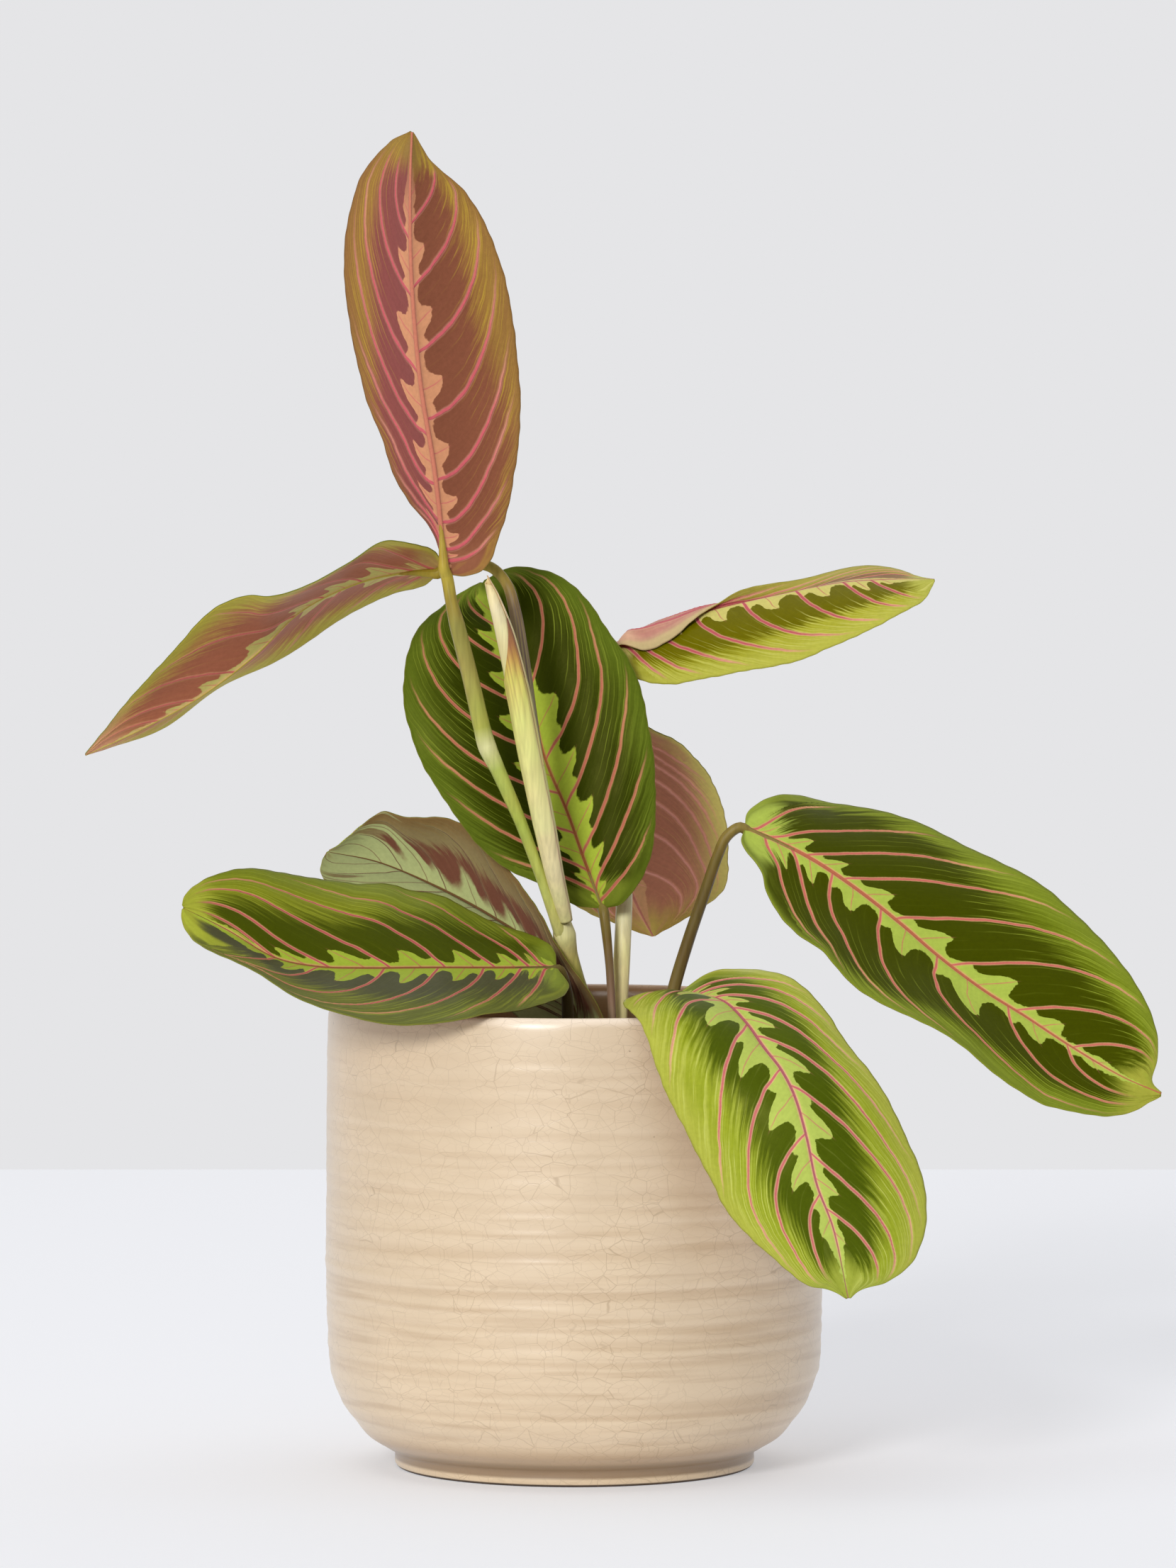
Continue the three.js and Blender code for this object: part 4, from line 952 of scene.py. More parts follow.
# %% Stem paths
# For each piece: the plane it was read on, and its runs. Each run names the leaf that it carries, and
# goes on under its blade. Its points are (x, y, z, radius, tint) from low to high, read like the
# leaves' outlines, and where the stalk is striped a sixth value gives the share of the stripes.
STEMS = {
    "stem_main": (0, [
        (None, [
            (5.5, 8, 100, 2.9, "#a5a047"), (5.2, 8, 114, 2.9, "#acab4d"), (3.8, 7, 126, 2.7, "#acab4d"),
            (0.6, 4, 136, 2.5, "#b4b050"), (-1.8, 1, 144, 2.7, "#dcd27a"),
            (-2.9, -1, 149.5, 3.3, "#f2e8a2"), (-3.6, -2, 153, 2.6, "#f2eab0")]),
        ("leaf_upright", [
            (-3.3, -1.5, 149, 2.2, "#d8cf84"), (-5.6, -4.5, 155, 1.7, "#d7d27b"),
            (-9.1, -7, 165, 1.5, "#c3c766"), (-15, -9, 181, 1.7, "#afb852"),
            (-21.5, -10, 196, 2.1, "#b4bb5c"), (-24.5, -10, 202.5, 2.6, "#dddb9e"),
            (-26, -10, 208, 2.4, "#aeb052"), (-29, -10.5, 221, 2.3, "#a79f52"),
            (-33, -11, 237, 2.2, "#978c48"), (-34.6, -11, 243.5, 1.7, "#a08a3c"),
            (-35.8, -10.3, 250.2, 1.7, "#b69d41")]),
        ("leaf_left_high", [
            (-2.8, -0.5, 149.5, 2.2, "#d6ca8d"), (-4.2, -0.4, 157, 1.6, "#dccf98"),
            (-7.6, -0.5, 178, 1.9, "#c1b478", 0.3), (-11.8, -1, 205, 2.2, "#b4a880", 0.7),
            (-14.9, 0, 228, 2.2, "#a3946c", 0.8), (-16.8, 1, 241, 1.7, "#8a7450", 0.6),
            (-19.2, 2, 248.6, 1.5, "#9c8440"), (-23.5, 2, 253, 1.5, "#ab9642"),
            (-30, 2, 254, 1.6, "#a28d30"), (-36.6, 2, 252.6, 1.7, "#a28d30")])]),
    "stem_back": (0, [
        (None, [
            (12.2, 11, 100, 2.5, "#cfc48c"), (12.2, 11, 114, 2.5, "#dcd09c"),
            (12.3, 11.5, 126, 2.5, "#fff3ae"), (13.3, 14, 143, 2.4, "#fff3ae"),
            (14, 17.5, 160, 2.3, "#eeeec0"), (14, 26, 185, 2.1, "#c2c47c"),
            (12, 32, 200, 2.1, "#c6c886")]),
        ("leaf_back", [
            (12.6, 31, 197, 1.8, "#c6c886"), (10, 34.5, 204, 1.5, "#b0b060"),
            (7.5, 36.9, 207.2, 1.3, "#a8924a")]),
        ("leaf_right_high", [
            (12.6, 31, 197, 1.8, "#c6c886"), (11.5, 34.5, 208, 1.5, "#b0b060"),
            (9, 37.5, 220, 1.4, "#a8a050"), (9.4, 38, 228.5, 1.3, "#b0a050")])]),
    "petiole_centre": (0, [
        ("leaf_centre", [
            (10.8, 4, 100, 1.2, "#a78b71"), (10.8, 4, 114, 1.2, "#a78b71"),
            (10.5, 4.5, 128, 1.1, "#a0826a"), (9.9, 5.3, 140, 1.1, "#8c7050"),
            (9.2, 6.3, 148, 1.3, "#7b6533"), (8.1, 7.9, 156.5, 1.5, "#86783a")])]),
    "petiole_left_low": (0, [
        ("leaf_left_low", [
            (-1.5, -17, 100, 1.8, "#5a4a2c"), (-1.5, -17, 114, 1.8, "#5a4a2c"),
            (-1.8, -18, 126, 1.7, "#54452a"), (-2.3, -19, 134, 1.6, "#5a4c28"),
            (-4.3, -20.6, 139.7, 1.4, "#6a5c2c")])]),
    "petiole_left_back": (0, [
        ("leaf_left_back", [
            (3.2, -3, 100, 1.6, "#76683a"), (2.8, -3, 112, 1.6, "#76683a"),
            (2.1, -3, 117.1, 1.6, "#6a5c30")])]),
    "petiole_front": (-60, [
        ("leaf_front", [
            (19, -35, 100, 1.7, "#a59a55"), (19, -35, 114, 1.7, "#a59a55"),
            (19.5, -36.5, 122, 1.6, "#a59a55"), (21.3, -39, 129.5, 1.5, "#b0a858"),
            (24.6, -41.8, 133.1, 1.3, "#b8b45c")])]),
    "petiole_right": (0, [
        ("leaf_right", [
            (24, -4, 100, 2.0, "#9a8650"), (24.2, -4, 114, 2.0, "#9a8650"),
            (27.6, -4.5, 133, 1.8, "#84703e"), (32, -5, 148, 1.7, "#705c30"),
            (36.8, -5.5, 162, 1.6, "#6c5a2c"), (40.3, -6, 172, 1.5, "#76642e"),
            (42.8, -6, 177.3, 1.5, "#8a7438"), (46.6, -6, 179.9, 1.5, "#8c783c")])]),
}
# How a stalk thins out under its blade: (share of the rib, share of the stalk's radius).
UNDER_RIB = ((0.012, 0.95), (0.035, 0.75), (0.07, 0.5), (0.11, 0.25))
AIM_AHEAD, MARGIN_AHEAD = 0.01, 0.02  # shares of the rib, to find which way the blade faces
SINK_SHARE = 0.8  # of the radius: how deep the stalk lies under the blade
CURVE_STEPS = 12  # of the smooth curve between two points


def stem_path(run, plane, carries, step_mm=0.8):
    """Points, radii and tints along one run, with its way under the blade that it carries."""
    centres = list(placed([p[:3] for p in run], plane))
    radii = [p[3] for p in run]
    tints = [linear(p[4])[:3] + (p[5] if len(p) > 5 else 0.0,) for p in run]
    if carries:
        leaf = LEAVES[carries]
        rib = spline(placed(leaf["rib"], leaf["plane"]))
        for share, size in UNDER_RIB:
            centre, ahead = at_shares(rib, share), at_shares(rib, share + AIM_AHEAD)
            sides = [at_shares(spline(placed(leaf[word], leaf["plane"])), share + MARGIN_AHEAD)
                     for word in ("left", "right")]
            up = unit(np.cross(sides[1] - sides[0], ahead - centre))
            centres.append(centre - up * radii[len(run) - 1] * size * SINK_SHARE)
            radii.append(radii[len(run) - 1] * size)
            tints.append(tints[len(run) - 1])
    line = spline(np.array(centres), CURVE_STEPS)
    lengths = np.linalg.norm(np.diff(line, axis=0), axis=1)
    shares = np.linspace(0, 1, int(lengths.sum() / step_mm) + 2)
    run_mm = np.r_[0, np.cumsum(lengths)]
    knots = run_mm[::CURVE_STEPS] / run_mm[-1]
    tint = np.stack([np.interp(shares, knots, c) for c in np.array(tints).T], axis=1)
    return at_shares(line, shares), np.interp(shares, knots, radii), tint


def stem(name, paths, skin):
    """All the runs of a stem, swept to one piece."""
    chain = bpy.data.meshes.new(name)
    points, radii, tints = (np.concatenate(part) for part in zip(*paths))
    ends = np.cumsum([len(path[0]) for path in paths])
    edges = [(k, k + 1) for k in range(len(points) - 1) if k + 1 not in ends]
    chain.from_pydata((points * MM).tolist(), edges, [])
    chain.attributes.new("radius", "FLOAT", "POINT").data.foreach_set("value", radii * MM)
    chain.attributes.new("tint", "FLOAT_COLOR", "POINT").data.foreach_set("color", tints.ravel())
    return grown(name, put(name, chain), stem_tree, Skin=skin)


for name, (plane, runs) in STEMS.items():
    paths = [stem_path(run, plane, carries) for carries, run in runs]
    dress(stem(name + "_skin", paths, waxy_stem), "stem", name)

# %% [markdown]
# ## The rolled leaf
#
# The newest leaf stands beside the middle stem, still rolled into a thin cone, cream at its tip. The
# sheath of the stalk next to it wraps round it from below: a pale leaf-like sheet whose open edge is a
# pinkish line. It ends in a brown point at the right of the roll, and from there its upper edge falls
# to the left. One tube would look like a pencil, so there are two sheets. The inner one is a spiral of
# one and a half turns, and the outer one goes once round the other way and overlaps itself a little.
# Each gets its thickness from its own two faces.

# %% Rolled leaf
ROLL = [(-2.3, -4.6, 153.5, 1.9), (-3.4, -6, 158, 2.3), (-5.4, -8, 166, 2.7), (-8.5, -10.5, 181, 3.3),
        (-12.4, -12, 200, 3.5), (-15.9, -13, 218, 3.5), (-19.6, -13, 234, 2.9), (-23, -12.5, 245, 1.8),
        (-25, -12, 250.5, 0.7)]
SHEET_MM = 0.3
SHEATH_TOP, SHEATH_POINT = 0.7, 0.17  # shares of the roll: the sheath's low edge, its point above that


def rolled_sheet(low, high, turns, start, shrink, tints, steps=150, around=72):
    """A sheet rolled round the ROLL path between two shares of it. low and high are functions of the
    share of the way round, and shrink is the share of the radius that is lost towards the inside."""
    path = spline(placed([p[:3] for p in ROLL]))
    knots = np.linspace(0, 1, len(ROLL))
    dense = np.linspace(0, 1, len(path))
    arc = np.r_[0, np.cumsum(np.linalg.norm(np.diff(path, axis=0), axis=1))]
    arc = arc / arc[-1]
    w = np.linspace(0, 1, around + 1)[None, :]
    v = np.linspace(0, 1, steps + 1)[:, None]
    share = low(w) + (high(w) - low(w)) * v
    centre = at_shares(path, share)
    forward = unit(at_shares(path, share + 0.01) - at_shares(path, share - 0.01))
    across = unit(np.cross(forward, np.array([0, 1.0, 0])))
    third = np.cross(forward, across)
    angle = (start + turns * w) * 2 * np.pi
    outward = across * np.cos(angle)[..., None] + third * np.sin(angle)[..., None]
    radius = np.interp(np.interp(share, arc, dense), knots, [p[3] for p in ROLL]) * (1 - shrink * w)
    points = [(centre + outward * (radius - cut)[..., None]).reshape(-1, 3) for cut in (0, SHEET_MM)]
    faces = two_faced(steps, around)
    tint = tints(share, np.broadcast_to(w, share.shape))
    tint[..., 3] = 0  # no stripes
    return (np.vstack(points), faces if turns > 0 else faces[:, ::-1],
            np.vstack([tint.reshape(-1, 4)] * 2))


def blend_tints(share, stops):
    """Tints read along a list of (share, hex) stops."""
    places = [place for place, _ in stops]
    colours = np.array([linear(code) for _, code in stops])
    return np.stack([np.interp(share, places, c) for c in colours.T], axis=-1)


def roll_tints(share, way_round):
    """The roll: cream above, yellow-green below, with a brown line along its open edge."""
    body = blend_tints(share, [(0.5, "#dfdd8c"), (0.8, "#e6dca0"), (0.9, "#f0e3b4"), (1, "#e8cf90")])
    seam = np.exp(-(way_round / 0.012) ** 2)[..., None]
    return body * (1 - 0.5 * seam) + linear("#b4806a") * (0.5 * seam)


def wrap_tints(share, way_round):
    """The sheath: pale, browner and streaked towards its point, with a rosy open edge."""
    body = blend_tints(share, [(0, "#e8dc9c"), (0.15, "#f0e2b0"), (0.4, "#e9e298"), (0.6, "#e0dc84"),
                               (0.7, "#dccf6c"), (0.76, "#cfa656"), (0.8, "#b07c50"), (0.87, "#7c4e40")])
    streaks = 0.5 + 0.5 * np.sin(way_round * 211 + 2.3 * np.sin(way_round * 67))
    streaks = (streaks ** 2 * ramp(share, 0.5, 0.78))[..., None]
    body = body * (1 - 0.55 * streaks) + linear("#8a5a44") * (0.55 * streaks)
    edge = np.exp(-(np.minimum(way_round, 1 - way_round) / 0.02) ** 2)[..., None]
    rose = blend_tints(share, [(0, "#c98f86"), (0.5, "#c9a080"), (0.8, "#8a5a4a"), (1, "#6a4038")])
    return body * (1 - 0.7 * edge) + rose * (0.7 * edge)


def sheath_top(w):
    """Where the sheath ends above: at its point where the way round starts, and lower from there on."""
    return SHEATH_TOP + SHEATH_POINT * ramp(w, 0.36, -0.12) / ramp(0, 0.36, -0.12)


inner = rolled_sheet(lambda w: 0.45 + 0 * w, lambda w: 1 - 0.05 * w, 1.6, 0.42, 0.35, roll_tints)
outer = rolled_sheet(lambda w: 0 * w, sheath_top, -1.12, 0.4, 0.05, wrap_tints)
print("rolled leaf:", len(inner[1]), "and", len(outer[1]), "faces")

# %% Rolled leaf as one piece
waxy_new_leaf = stem_skin("waxy new leaf", 0.42, 0.06)
points, tints = (np.vstack([inner[k], outer[k]]) for k in (0, 2))
faces = np.vstack([inner[1], outer[1] + len(inner[0])])
rolled_leaf = object_from("rolled_leaf_roll", points, faces, [waxy_new_leaf])
tint_layer = rolled_leaf.data.attributes.new("tint", "FLOAT_COLOR", "POINT")
tint_layer.data.foreach_set("color", tints.ravel())
dress(rolled_leaf, "new_leaf", "rolled_leaf")

# %% [markdown]
# ## The pot
#
# The pot was thrown or pressed in stoneware: a near-straight body, a tight round shoulder above a
# narrow foot, and a soft crest. Faint rings from the throwing run round it, stronger in the lower body.
# A turned shape like this follows a rule, so its profile is a short chain of points and a Geometry
# Nodes tree turns it about the axis. Noise that is squeezed flat makes the rings: it changes quickly
# with height and slowly round the pot, so no ring is quite level or even.

# %% Pot tree
turning_tree, add, given = new_group("turned body with throwing rings", {
    "Steps around": ("Int", 280), "Ring depth": ("Float", 0.5 * MM), "Ring height": ("Float", 3.2 * MM),
    "Out of round": ("Float", 0.25), "Skin": ("Material", None)})
rows = add("GeometryNodeAttributeDomainSize", [given["Geometry"]])
columns = add(MATH, [given["Steps around"], 1.0], **PLUS)
sheet = add("GeometryNodeMeshGrid", {2: columns, 3: rows})
index = add("GeometryNodeInputIndex")
row = add(MATH, [index, rows], operation="MODULO")
column = add(MATH, [index, rows], operation="DIVIDE")
column = add(MATH, [column], operation="FLOOR")
angle = add(MATH, [column, given["Steps around"]], operation="DIVIDE")
angle = add(MATH, [angle, 2 * math.pi], **TIMES)
cosine = add(MATH, [angle], operation="COSINE")
sine = add(MATH, [angle], operation="SINE")
spot = add("GeometryNodeInputPosition")
spot = add("GeometryNodeSampleIndex", {0: given["Geometry"], 1: spot, 2: row}, data_type="FLOAT_VECTOR")
depth = add("GeometryNodeInputNamedAttribute", ["ring_share"])
depth = add("GeometryNodeSampleIndex", {0: given["Geometry"], 1: depth, 2: row})
split = add("ShaderNodeSeparateXYZ", [spot])
radius, height = split.node.outputs[0], split.node.outputs[2]
around_x = add(MATH, [cosine, given["Out of round"]], **TIMES)
around_y = add(MATH, [sine, given["Out of round"]], **TIMES)
level = add(MATH, [height, given["Ring height"]], operation="DIVIDE")
squeezed = add("ShaderNodeCombineXYZ", [around_x, around_y, level])
rings = add(NOISE, {0: squeezed, 2: 1.0, 3: 1.0, 4: 0.4})
rings = add(STEP, [rings, 0.25, 0.75, -1.0, 0.0])
ring_cut = add(MATH, [rings, depth], **TIMES)
ring_cut = add(MATH, [ring_cut, given["Ring depth"]], **TIMES)
radius = add(MATH, [radius, ring_cut], **PLUS)
x = add(MATH, [radius, cosine], **TIMES)
y = add(MATH, [radius, sine], **TIMES)
spot = add("ShaderNodeCombineXYZ", [x, y, height])
body = add("GeometryNodeStoreNamedAttribute", {0: sheet, 2: "ring", 3: rings})
body = add("GeometryNodeSetPosition", {0: body, 2: spot})
body = add("GeometryNodeMergeByDistance", {0: body, 2: 1e-6})
body = add("GeometryNodeSetShadeSmooth", [body])
body = add("GeometryNodeRealizeInstances", [body])
body = add("GeometryNodeSetMaterial", {0: body, 2: given["Skin"]})
add("NodeGroupOutput", [body])
print("turning tree:", len(turning_tree.nodes), "nodes")

# %% [markdown]
# ### Crackle glaze
#
# The glaze is a satin beige that shrank as it cooled and broke into a fine net, and tea-brown stain
# sits in the cracks. It pools in the grooves between the throwing rings, where it is darker. On the
# crest it is cream, from thinner glaze and a painted highlight where the crest faces up. Above the
# foot it is darker, from pooled glaze and painted shade under the shoulder, and the bare edge on the
# table carries a painted contact shadow. A clear coat gives it a soft shine with no sharp
# reflections. The net is the border between cells of a Voronoi pattern: a coarse net of about 7 mm
# and a fine one of about 4 mm, flatter than they are wide, and bent a little so that no line is
# straight. The cracks are hair lines a little over a tenth of a millimetre wide.

# %% Glaze finish
# The crest colour is partly a painted highlight where the crest faces up, and partly thinner glaze.
GLAZE, POOLED, CREST, STAIN = "#dfc8a8", "#b3926a", "#fbe8d0", "#8c6e4a"
# The bare edge of the foot is drawn dark as a painted contact shadow where it meets the table.
FOOT_BAND, BARE_EDGE_AND_CONTACT_SHADE, INSIDE_SHADE = "#dcc4a2", "#4a3a2c", "#a8855c"
# The groove above the foot is pooled glaze with painted shade under the shoulder; the next colour is a
# darker brown from 7.4 mm down to the foot band.
GROOVE, FOOT_TOP_BROWN = "#b0906a", "#6f5840"

INSIDE_RADIUS = 66.4  # mm, the glaze is seen from inside at less than this

crackle_glaze = bpy.data.materials.new("crackle glazed stoneware")
add = adder(crackle_glaze)
place = add("ShaderNodeTexCoord", pick=3)
ring = add(FIELD, attribute_name="ring", pick=2)
split = add("ShaderNodeSeparateXYZ", [place])
height = add(MATH, [split.node.outputs[2], 1 / MM], **TIMES)
flat = add("ShaderNodeCombineXYZ", [split.node.outputs[0], split.node.outputs[1], 0.0])
radius = add(VECTOR, [flat], pick=1, operation="LENGTH")
radius = add(MATH, [radius, 1 / MM], **TIMES)
cloud = add(NOISE, {0: place, 2: 45.0, 3: 3.0})
streak_place = add(VECTOR, [place, (17, 17, 380)], **TIMES)
streaks = add(NOISE, {0: streak_place, 2: 1.0, 3: 2.0, 4: 0.5})
lower_body = add(STEP, [height, 105.0, 55.0, 0.4, 1.0], **SOFT)
pooled = add(STEP, [ring, -0.45, -0.95, 0.0, 1.0], **SOFT)
pooled = add(MATH, [pooled, lower_body], **TIMES)
streaks = add(STEP, [streaks, 0.46, 0.74, 0.0, 1.0], **SOFT)
streaks = add(MATH, [streaks, lower_body], **TIMES)
pooled = add(MATH, [pooled, streaks], operation="MAXIMUM")
pooled = add(MATH, [pooled, 0.42], **TIMES)
colour = add(MIX, {0: pooled, 6: linear(GLAZE), 7: linear(POOLED)}, **COLOURS)
# windows over the height: the crest (thinner glaze with a painted highlight), the groove above the
# foot (pooled glaze with painted shade), a darker brown band down to the foot band, the foot band,
# and the bare edge with a painted contact shadow
windows = ((128.2, 130.4, CREST, 0.9), (14.0, 7.4, GROOVE, 0.8), (7.4, 5.8, FOOT_TOP_BROWN, 0.55),
           (2.8, 1.8, FOOT_BAND, 1.0), (0.9, 0.5, BARE_EDGE_AND_CONTACT_SHADE, 1.0))
for start, end, code, strength in windows:
    share = add(STEP, [height, start, end, 0.0, strength], **SOFT)
    colour = add(MIX, {0: share, 6: colour, 7: linear(code)}, **COLOURS)
# painted shade: the same glaze inside the pot, drawn darker and browner than outside
inside = add(STEP, [radius, INSIDE_RADIUS, INSIDE_RADIUS - 1, 0.0, 1.0], **SOFT)
above_foot = add(STEP, [height, 1.0, 6.0, 0.0, 1.0])
inside = add(MATH, [inside, above_foot], **TIMES)
narrow_body = add(STEP, [height, 24.0, 30.0, 0.0, 1.0])
inside = add(MATH, [inside, narrow_body], **TIMES)
colour = add(MIX, {0: inside, 6: colour, 7: linear(INSIDE_SHADE)}, **COLOURS)
print("glaze colours:", GLAZE, POOLED, CREST)

# %% Crackle net
CRACKLE = ((7.0, 0.14, 0.36), (3.9, 0.12, 0.2))  # mm across a cell, mm across a crack, strength
BEND_MM, CRACK_DEPTH_MM, RIPPLE_MM = 1.4, 0.03, 0.12
SPECK = "#7a5a3c"

bent = add(NOISE, {0: place, 2: 130.0, 3: 2.0}, pick=1)
bent = add(VECTOR, {0: bent, 3: BEND_MM * MM}, operation="SCALE")
bent = add(VECTOR, [place, bent], **PLUS)
bent = add(VECTOR, [bent, (1.0, 1.0, 1.5)], **TIMES)
net = None
for cell_mm, crack_mm, strength in CRACKLE:
    cells = add("ShaderNodeTexVoronoi", {0: bent, 2: 1 / (cell_mm * MM)}, feature="DISTANCE_TO_EDGE")
    line = add(STEP, [cells, crack_mm / cell_mm, 0.15 * crack_mm / cell_mm, 0.0, strength], **SOFT)
    net = line if net is None else add(MATH, [net, line], operation="MAXIMUM")
where = add(STEP, [cloud, 0.35, 0.6, 0.35, 1.0])
net = add(MATH, [net, where], **TIMES)
colour = add(MIX, {0: net, 6: colour, 7: linear(STAIN)}, **COLOURS)
specks = add(NOISE, {0: place, 2: 520.0, 3: 1.0})
specks = add(STEP, [specks, 0.8, 0.83, 0.0, 0.5])
colour = add(MIX, {0: specks, 6: colour, 7: linear(SPECK)}, **COLOURS)
tone = add(STEP, [cloud, *NOISE_SPAN, 0.96, 1.03])
colour = add("ShaderNodeHueSaturation", {"Value": tone, "Color": colour})
dip = add(MATH, [net, -CRACK_DEPTH_MM * MM], **TIMES)
ripple = add(NOISE, {0: place, 2: 90.0, 3: 1.0})
dip = add(MATH, [ripple, RIPPLE_MM * MM, dip], operation="MULTIPLY_ADD")
bump = add("ShaderNodeBump", {"Strength": 1.0, "Distance": 1.0, "Height": dip})
bare = add(STEP, [height, 0.9, 0.3, 0.4, 0.85])
gloss = add(STEP, [height, 0.5, 1.0, 0.0, 0.7])
skin = add("ShaderNodeBsdfPrincipled", {
    "Base Color": colour, "Roughness": bare, "IOR": 1.5, "Normal": bump, "Coat Weight": gloss,
    "Coat Roughness": 0.28, "Coat IOR": 1.5, "Coat Normal": bump})
add("ShaderNodeOutputMaterial", [skin])
print("crackle cells in mm:", [cell_mm for cell_mm, _, _ in CRACKLE])

# %% Pot
POT_OUTSIDE = [(49.6, 0), (50.6, 1), (50.8, 4), (53, 5.6), (58.4, 9), (61.8, 13), (65, 17), (67, 21),
               (68.4, 25), (69.4, 30), (69.9, 40), (70.2, 52), (70.4, 60), (70.1, 72), (69.9, 100),
               (69.4, 125), (69, 129), (68.3, 130.5), (67.2, 131)]
POT_INSIDE = [(66, 130.6), (65.1, 129), (64.8, 125), (65.3, 100), (65.6, 60), (65.1, 40), (63.6, 27),
              (60, 19), (54, 11.5), (46, 7), (0, 7)]
FOOT_RECESS = [(0, 1.6), (40, 1.6), (42.5, 0)]  # the hollow under the foot, a guess
COARSE_MM, FINE_MM = 3.0, 0.6  # between the chain's points, fine where the rings show
STRETCH = 24  # steps of the smooth curve between two profile points


def profile_chain(name, points, spacings, ring_share):
    """A smooth chain of profile points, radius along X and height along Z. spacings holds, for each
    stretch between two points, how far apart the chain's own points are."""
    line = spline(np.array([(r, 0.0, h) for r, h in points], float), STRETCH)
    chain_points = [line[:1]]
    for k, spacing in enumerate(spacings):
        stretch = line[k * STRETCH:(k + 1) * STRETCH + 1]
        length = np.linalg.norm(np.diff(stretch, axis=0), axis=1).sum()
        chain_points.append(at_shares(stretch, np.linspace(0, 1, int(length / spacing) + 2)[1:]))
    line = np.maximum(np.vstack(chain_points), 0)
    chain = bpy.data.meshes.new(name)
    chain.from_pydata((line * MM).tolist(), [(k, k + 1) for k in range(len(line) - 1)], [])
    share = np.array([ring_share(r, h) for r, _, h in line], np.float32)
    chain.attributes.new("ring_share", "FLOAT", "POINT").data.foreach_set("value", share)
    return put(name, chain)


def ring_strength(radius, height):
    """Rings fade towards the foot and the crest, are strongest below the middle, and faint inside."""
    outside = ramp(height, 8, 18) * ramp(height, 130, 118) * (0.36 + 0.64 * ramp(height, 105, 55))
    return outside * (0.2 if radius < INSIDE_RADIUS and height > 30 else 1.0)


spacings = ([COARSE_MM] * len(FOOT_RECESS) + [FINE_MM] * (len(POT_OUTSIDE) - 1)
            + [COARSE_MM] * len(POT_INSIDE))
profile = profile_chain("pot_body", FOOT_RECESS + POT_OUTSIDE + POT_INSIDE, spacings, ring_strength)
pot = grown("pot_body", profile, turning_tree, Skin=crackle_glaze)
dress(pot, "glaze", "pot")

# %% [markdown]
# ## The soil
#
# Potting soil is crumbs of peat and bark with white grains of perlite. From the front the rim hides
# it, but from above it fills the pot. A flat brown disc would look painted, so the surface is a lumpy
# sheet with crumbs, bark chips and perlite strewn over it by a Geometry Nodes tree with a fixed seed.

# %% Soil finishes
def earthy(name, low, high, scale_mm, rough):
    """A rough grainy finish between two colours."""
    material = bpy.data.materials.new(name)
    add = adder(material)
    place = add("ShaderNodeTexCoord", pick=3)
    grains = add(NOISE, {0: place, 2: 1 / (scale_mm * MM), 3: 4.0, 4: 0.65})
    share = add(STEP, [grains, 0.35, 0.65, 0.0, 1.0])
    colour = add(MIX, {0: share, 6: linear(low), 7: linear(high)}, **COLOURS)
    height = add(MATH, [grains, 0.5 * MM], **TIMES)
    bump = add("ShaderNodeBump", {"Strength": 1.0, "Distance": 1.0, "Height": height})
    skin = add("ShaderNodeBsdfPrincipled", {
        "Base Color": colour, "Roughness": rough, "Specular IOR Level": 0.3, "Normal": bump})
    add("ShaderNodeOutputMaterial", [skin])
    return material


peat = earthy("moist peat", "#1d140e", "#4a3424", 2.2, 0.9)
bark = earthy("composted bark", "#3c2618", "#7a5436", 1.2, 0.8)
perlite = earthy("perlite", "#d8d4ca", "#f4f2ec", 1.0, 0.85)
print("soil finishes:", peat.name, bark.name, perlite.name)

# %% Soil tree
strewing_tree, add, given = new_group("strewn crumbs", {
    "Crumbs per m2": ("Float", 150000.0), "Chips per m2": ("Float", 9000.0),
    "Perlite per m2": ("Float", 11000.0), "Peat": ("Material", None), "Bark": ("Material", None),
    "White": ("Material", None)})
ground = given["Geometry"]
facing = add("GeometryNodeInputNormal")
facing = add("ShaderNodeSeparateXYZ", [facing], pick=2)
level = add(MATH, [facing, 0.6], operation="GREATER_THAN")
layers = [add("GeometryNodeSetMaterial", {0: ground, 2: given["Peat"]})]
GRAINS = (("Crumbs per m2", "Peat", (0.5, 0.5, 0.4), (1.7, 1.5, 1.2), 3),
          ("Chips per m2", "Bark", (1.2, 0.7, 0.35), (4.2, 2.2, 0.8), 11),
          ("Perlite per m2", "White", (0.8, 0.8, 0.7), (1.9, 1.7, 1.4), 23))
for amount, word, smallest, largest, seed in GRAINS:
    spread = add("GeometryNodeDistributePointsOnFaces",
                 {0: ground, 1: level, 4: given[amount], 6: seed})
    grain = add("GeometryNodeMeshIcoSphere", {0: MM, 1: 2})
    spot = add("GeometryNodeInputPosition")
    rough = add(NOISE, {0: spot, 2: 900.0 + seed, 3: 1.0}, pick=1)
    rough = add(VECTOR, [rough, (0.5, 0.5, 0.5)], **MINUS)
    rough = add(VECTOR, {0: rough, 3: 1.1 * MM}, operation="SCALE")
    grain = add("GeometryNodeSetPosition", {0: grain, 3: rough})
    grain = add("GeometryNodeSetMaterial", {0: grain, 2: given[word]})
    size = add("FunctionNodeRandomValue", {0: smallest, 1: largest, 8: seed}, data_type="FLOAT_VECTOR")
    turned = add("FunctionNodeRandomValue",
                 {0: (-0.4, -0.4, 0), 1: (0.4, 0.4, 2 * math.pi), 8: seed + 1},
                 data_type="FLOAT_VECTOR")
    strewn = add("GeometryNodeInstanceOnPoints", {0: spread, 2: grain, 5: turned, 6: size})
    layers.append(add("GeometryNodeRealizeInstances", [strewn]))
joined = strewing_tree.nodes.new("GeometryNodeJoinGeometry")
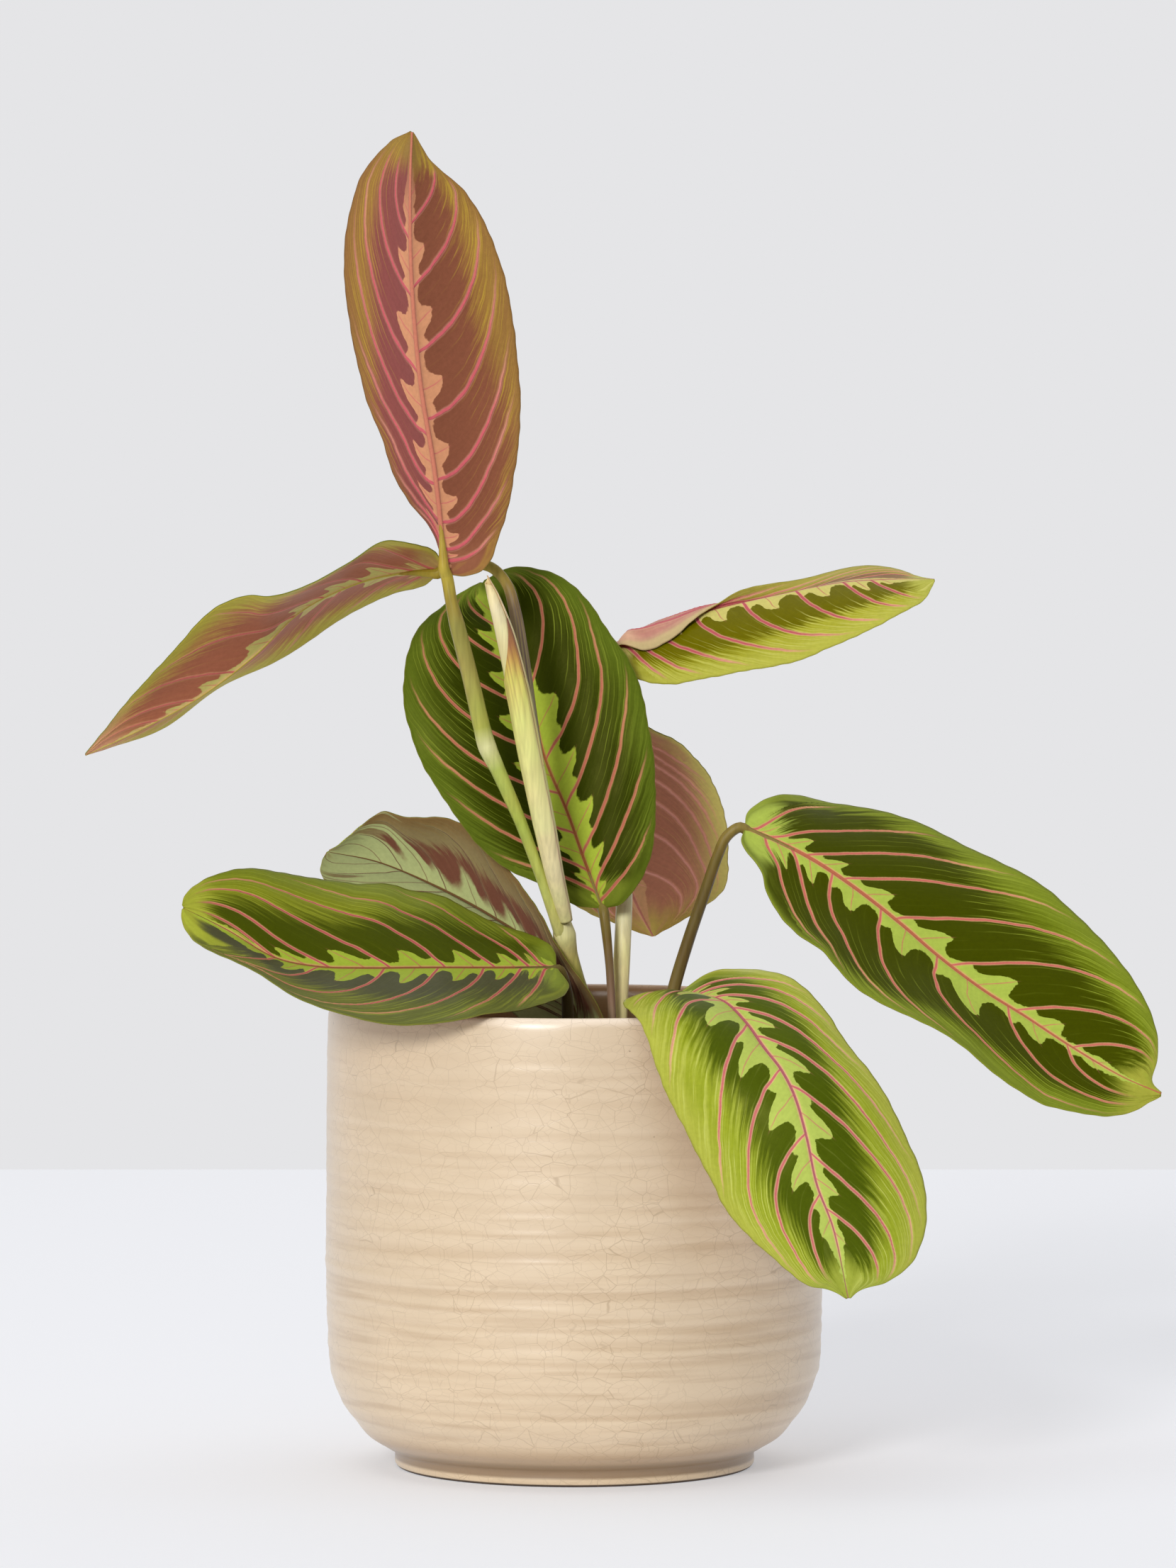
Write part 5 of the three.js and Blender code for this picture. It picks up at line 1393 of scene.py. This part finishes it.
for layer in reversed(layers):
    strewing_tree.links.new(layer, joined.inputs[0])
joined = add("GeometryNodeSetShadeSmooth", [joined.outputs[0]])
add("NodeGroupOutput", [joined])
print("strewing tree:", len(strewing_tree.nodes), "nodes")

# %% Soil
SOIL_TOP = 114.0  # mm above the floor
SOIL_EDGE = 64.6  # mm, its radius
SOIL_LUMP = 1.1  # mm, height of the lumps
SOIL_GAP = 0.35  # mm between the soil and the pot


def lump(x, y):
    """The height of the soil's surface above SOIL_TOP."""
    broad = np.sin(0.21 * x + 1.3) * np.cos(0.17 * y)
    fine = 0.25 * np.sin(0.9 * x + 0.4 * y) * np.sin(0.8 * y - 0.5 * x)
    return SOIL_LUMP * (broad + 0.6 * np.sin(0.33 * y - 0.25 * x + 0.8) + fine)


def soil_ground(around=120, rings=40):
    """A closed body of soil: a lumpy top on a wall that follows the inside of the pot."""
    wall = [(r - SOIL_GAP, h + SOIL_GAP) for r, h in reversed(POT_INSIDE[3:-1])]
    top = [(SOIL_EDGE * (1 - k / rings), SOIL_TOP) for k in range(rings)]
    outline = wall + top
    turn = np.linspace(0, 2 * np.pi, around, endpoint=False)
    points = [(r * np.cos(a), r * np.sin(a), h) for r, h in outline for a in turn]
    points += [(0, 0, SOIL_TOP), (0, 0, POT_INSIDE[-1][1] + SOIL_GAP)]
    points = np.array(points)
    raised = points[:, 2] >= SOIL_TOP
    points[raised, 2] += lump(points[raised, 0], points[raised, 1])
    faces = [(i * around + k, i * around + (k + 1) % around, (i + 1) * around + (k + 1) % around,
              (i + 1) * around + k) for i in range(len(outline) - 1) for k in range(around)]
    last = (len(outline) - 1) * around
    faces += [(last + k, last + (k + 1) % around, len(points) - 2) for k in range(around)]
    faces += [((k + 1) % around, k, len(points) - 1) for k in range(around)]
    mesh = bpy.data.meshes.new("soil_ground")
    mesh.from_pydata((points * MM).tolist(), [], faces)
    return put("soil_ground", mesh)


soil = grown("soil_crumbs", soil_ground(), strewing_tree, Peat=peat, Bark=bark, White=perlite)
dress(soil, "potting_soil", "soil")
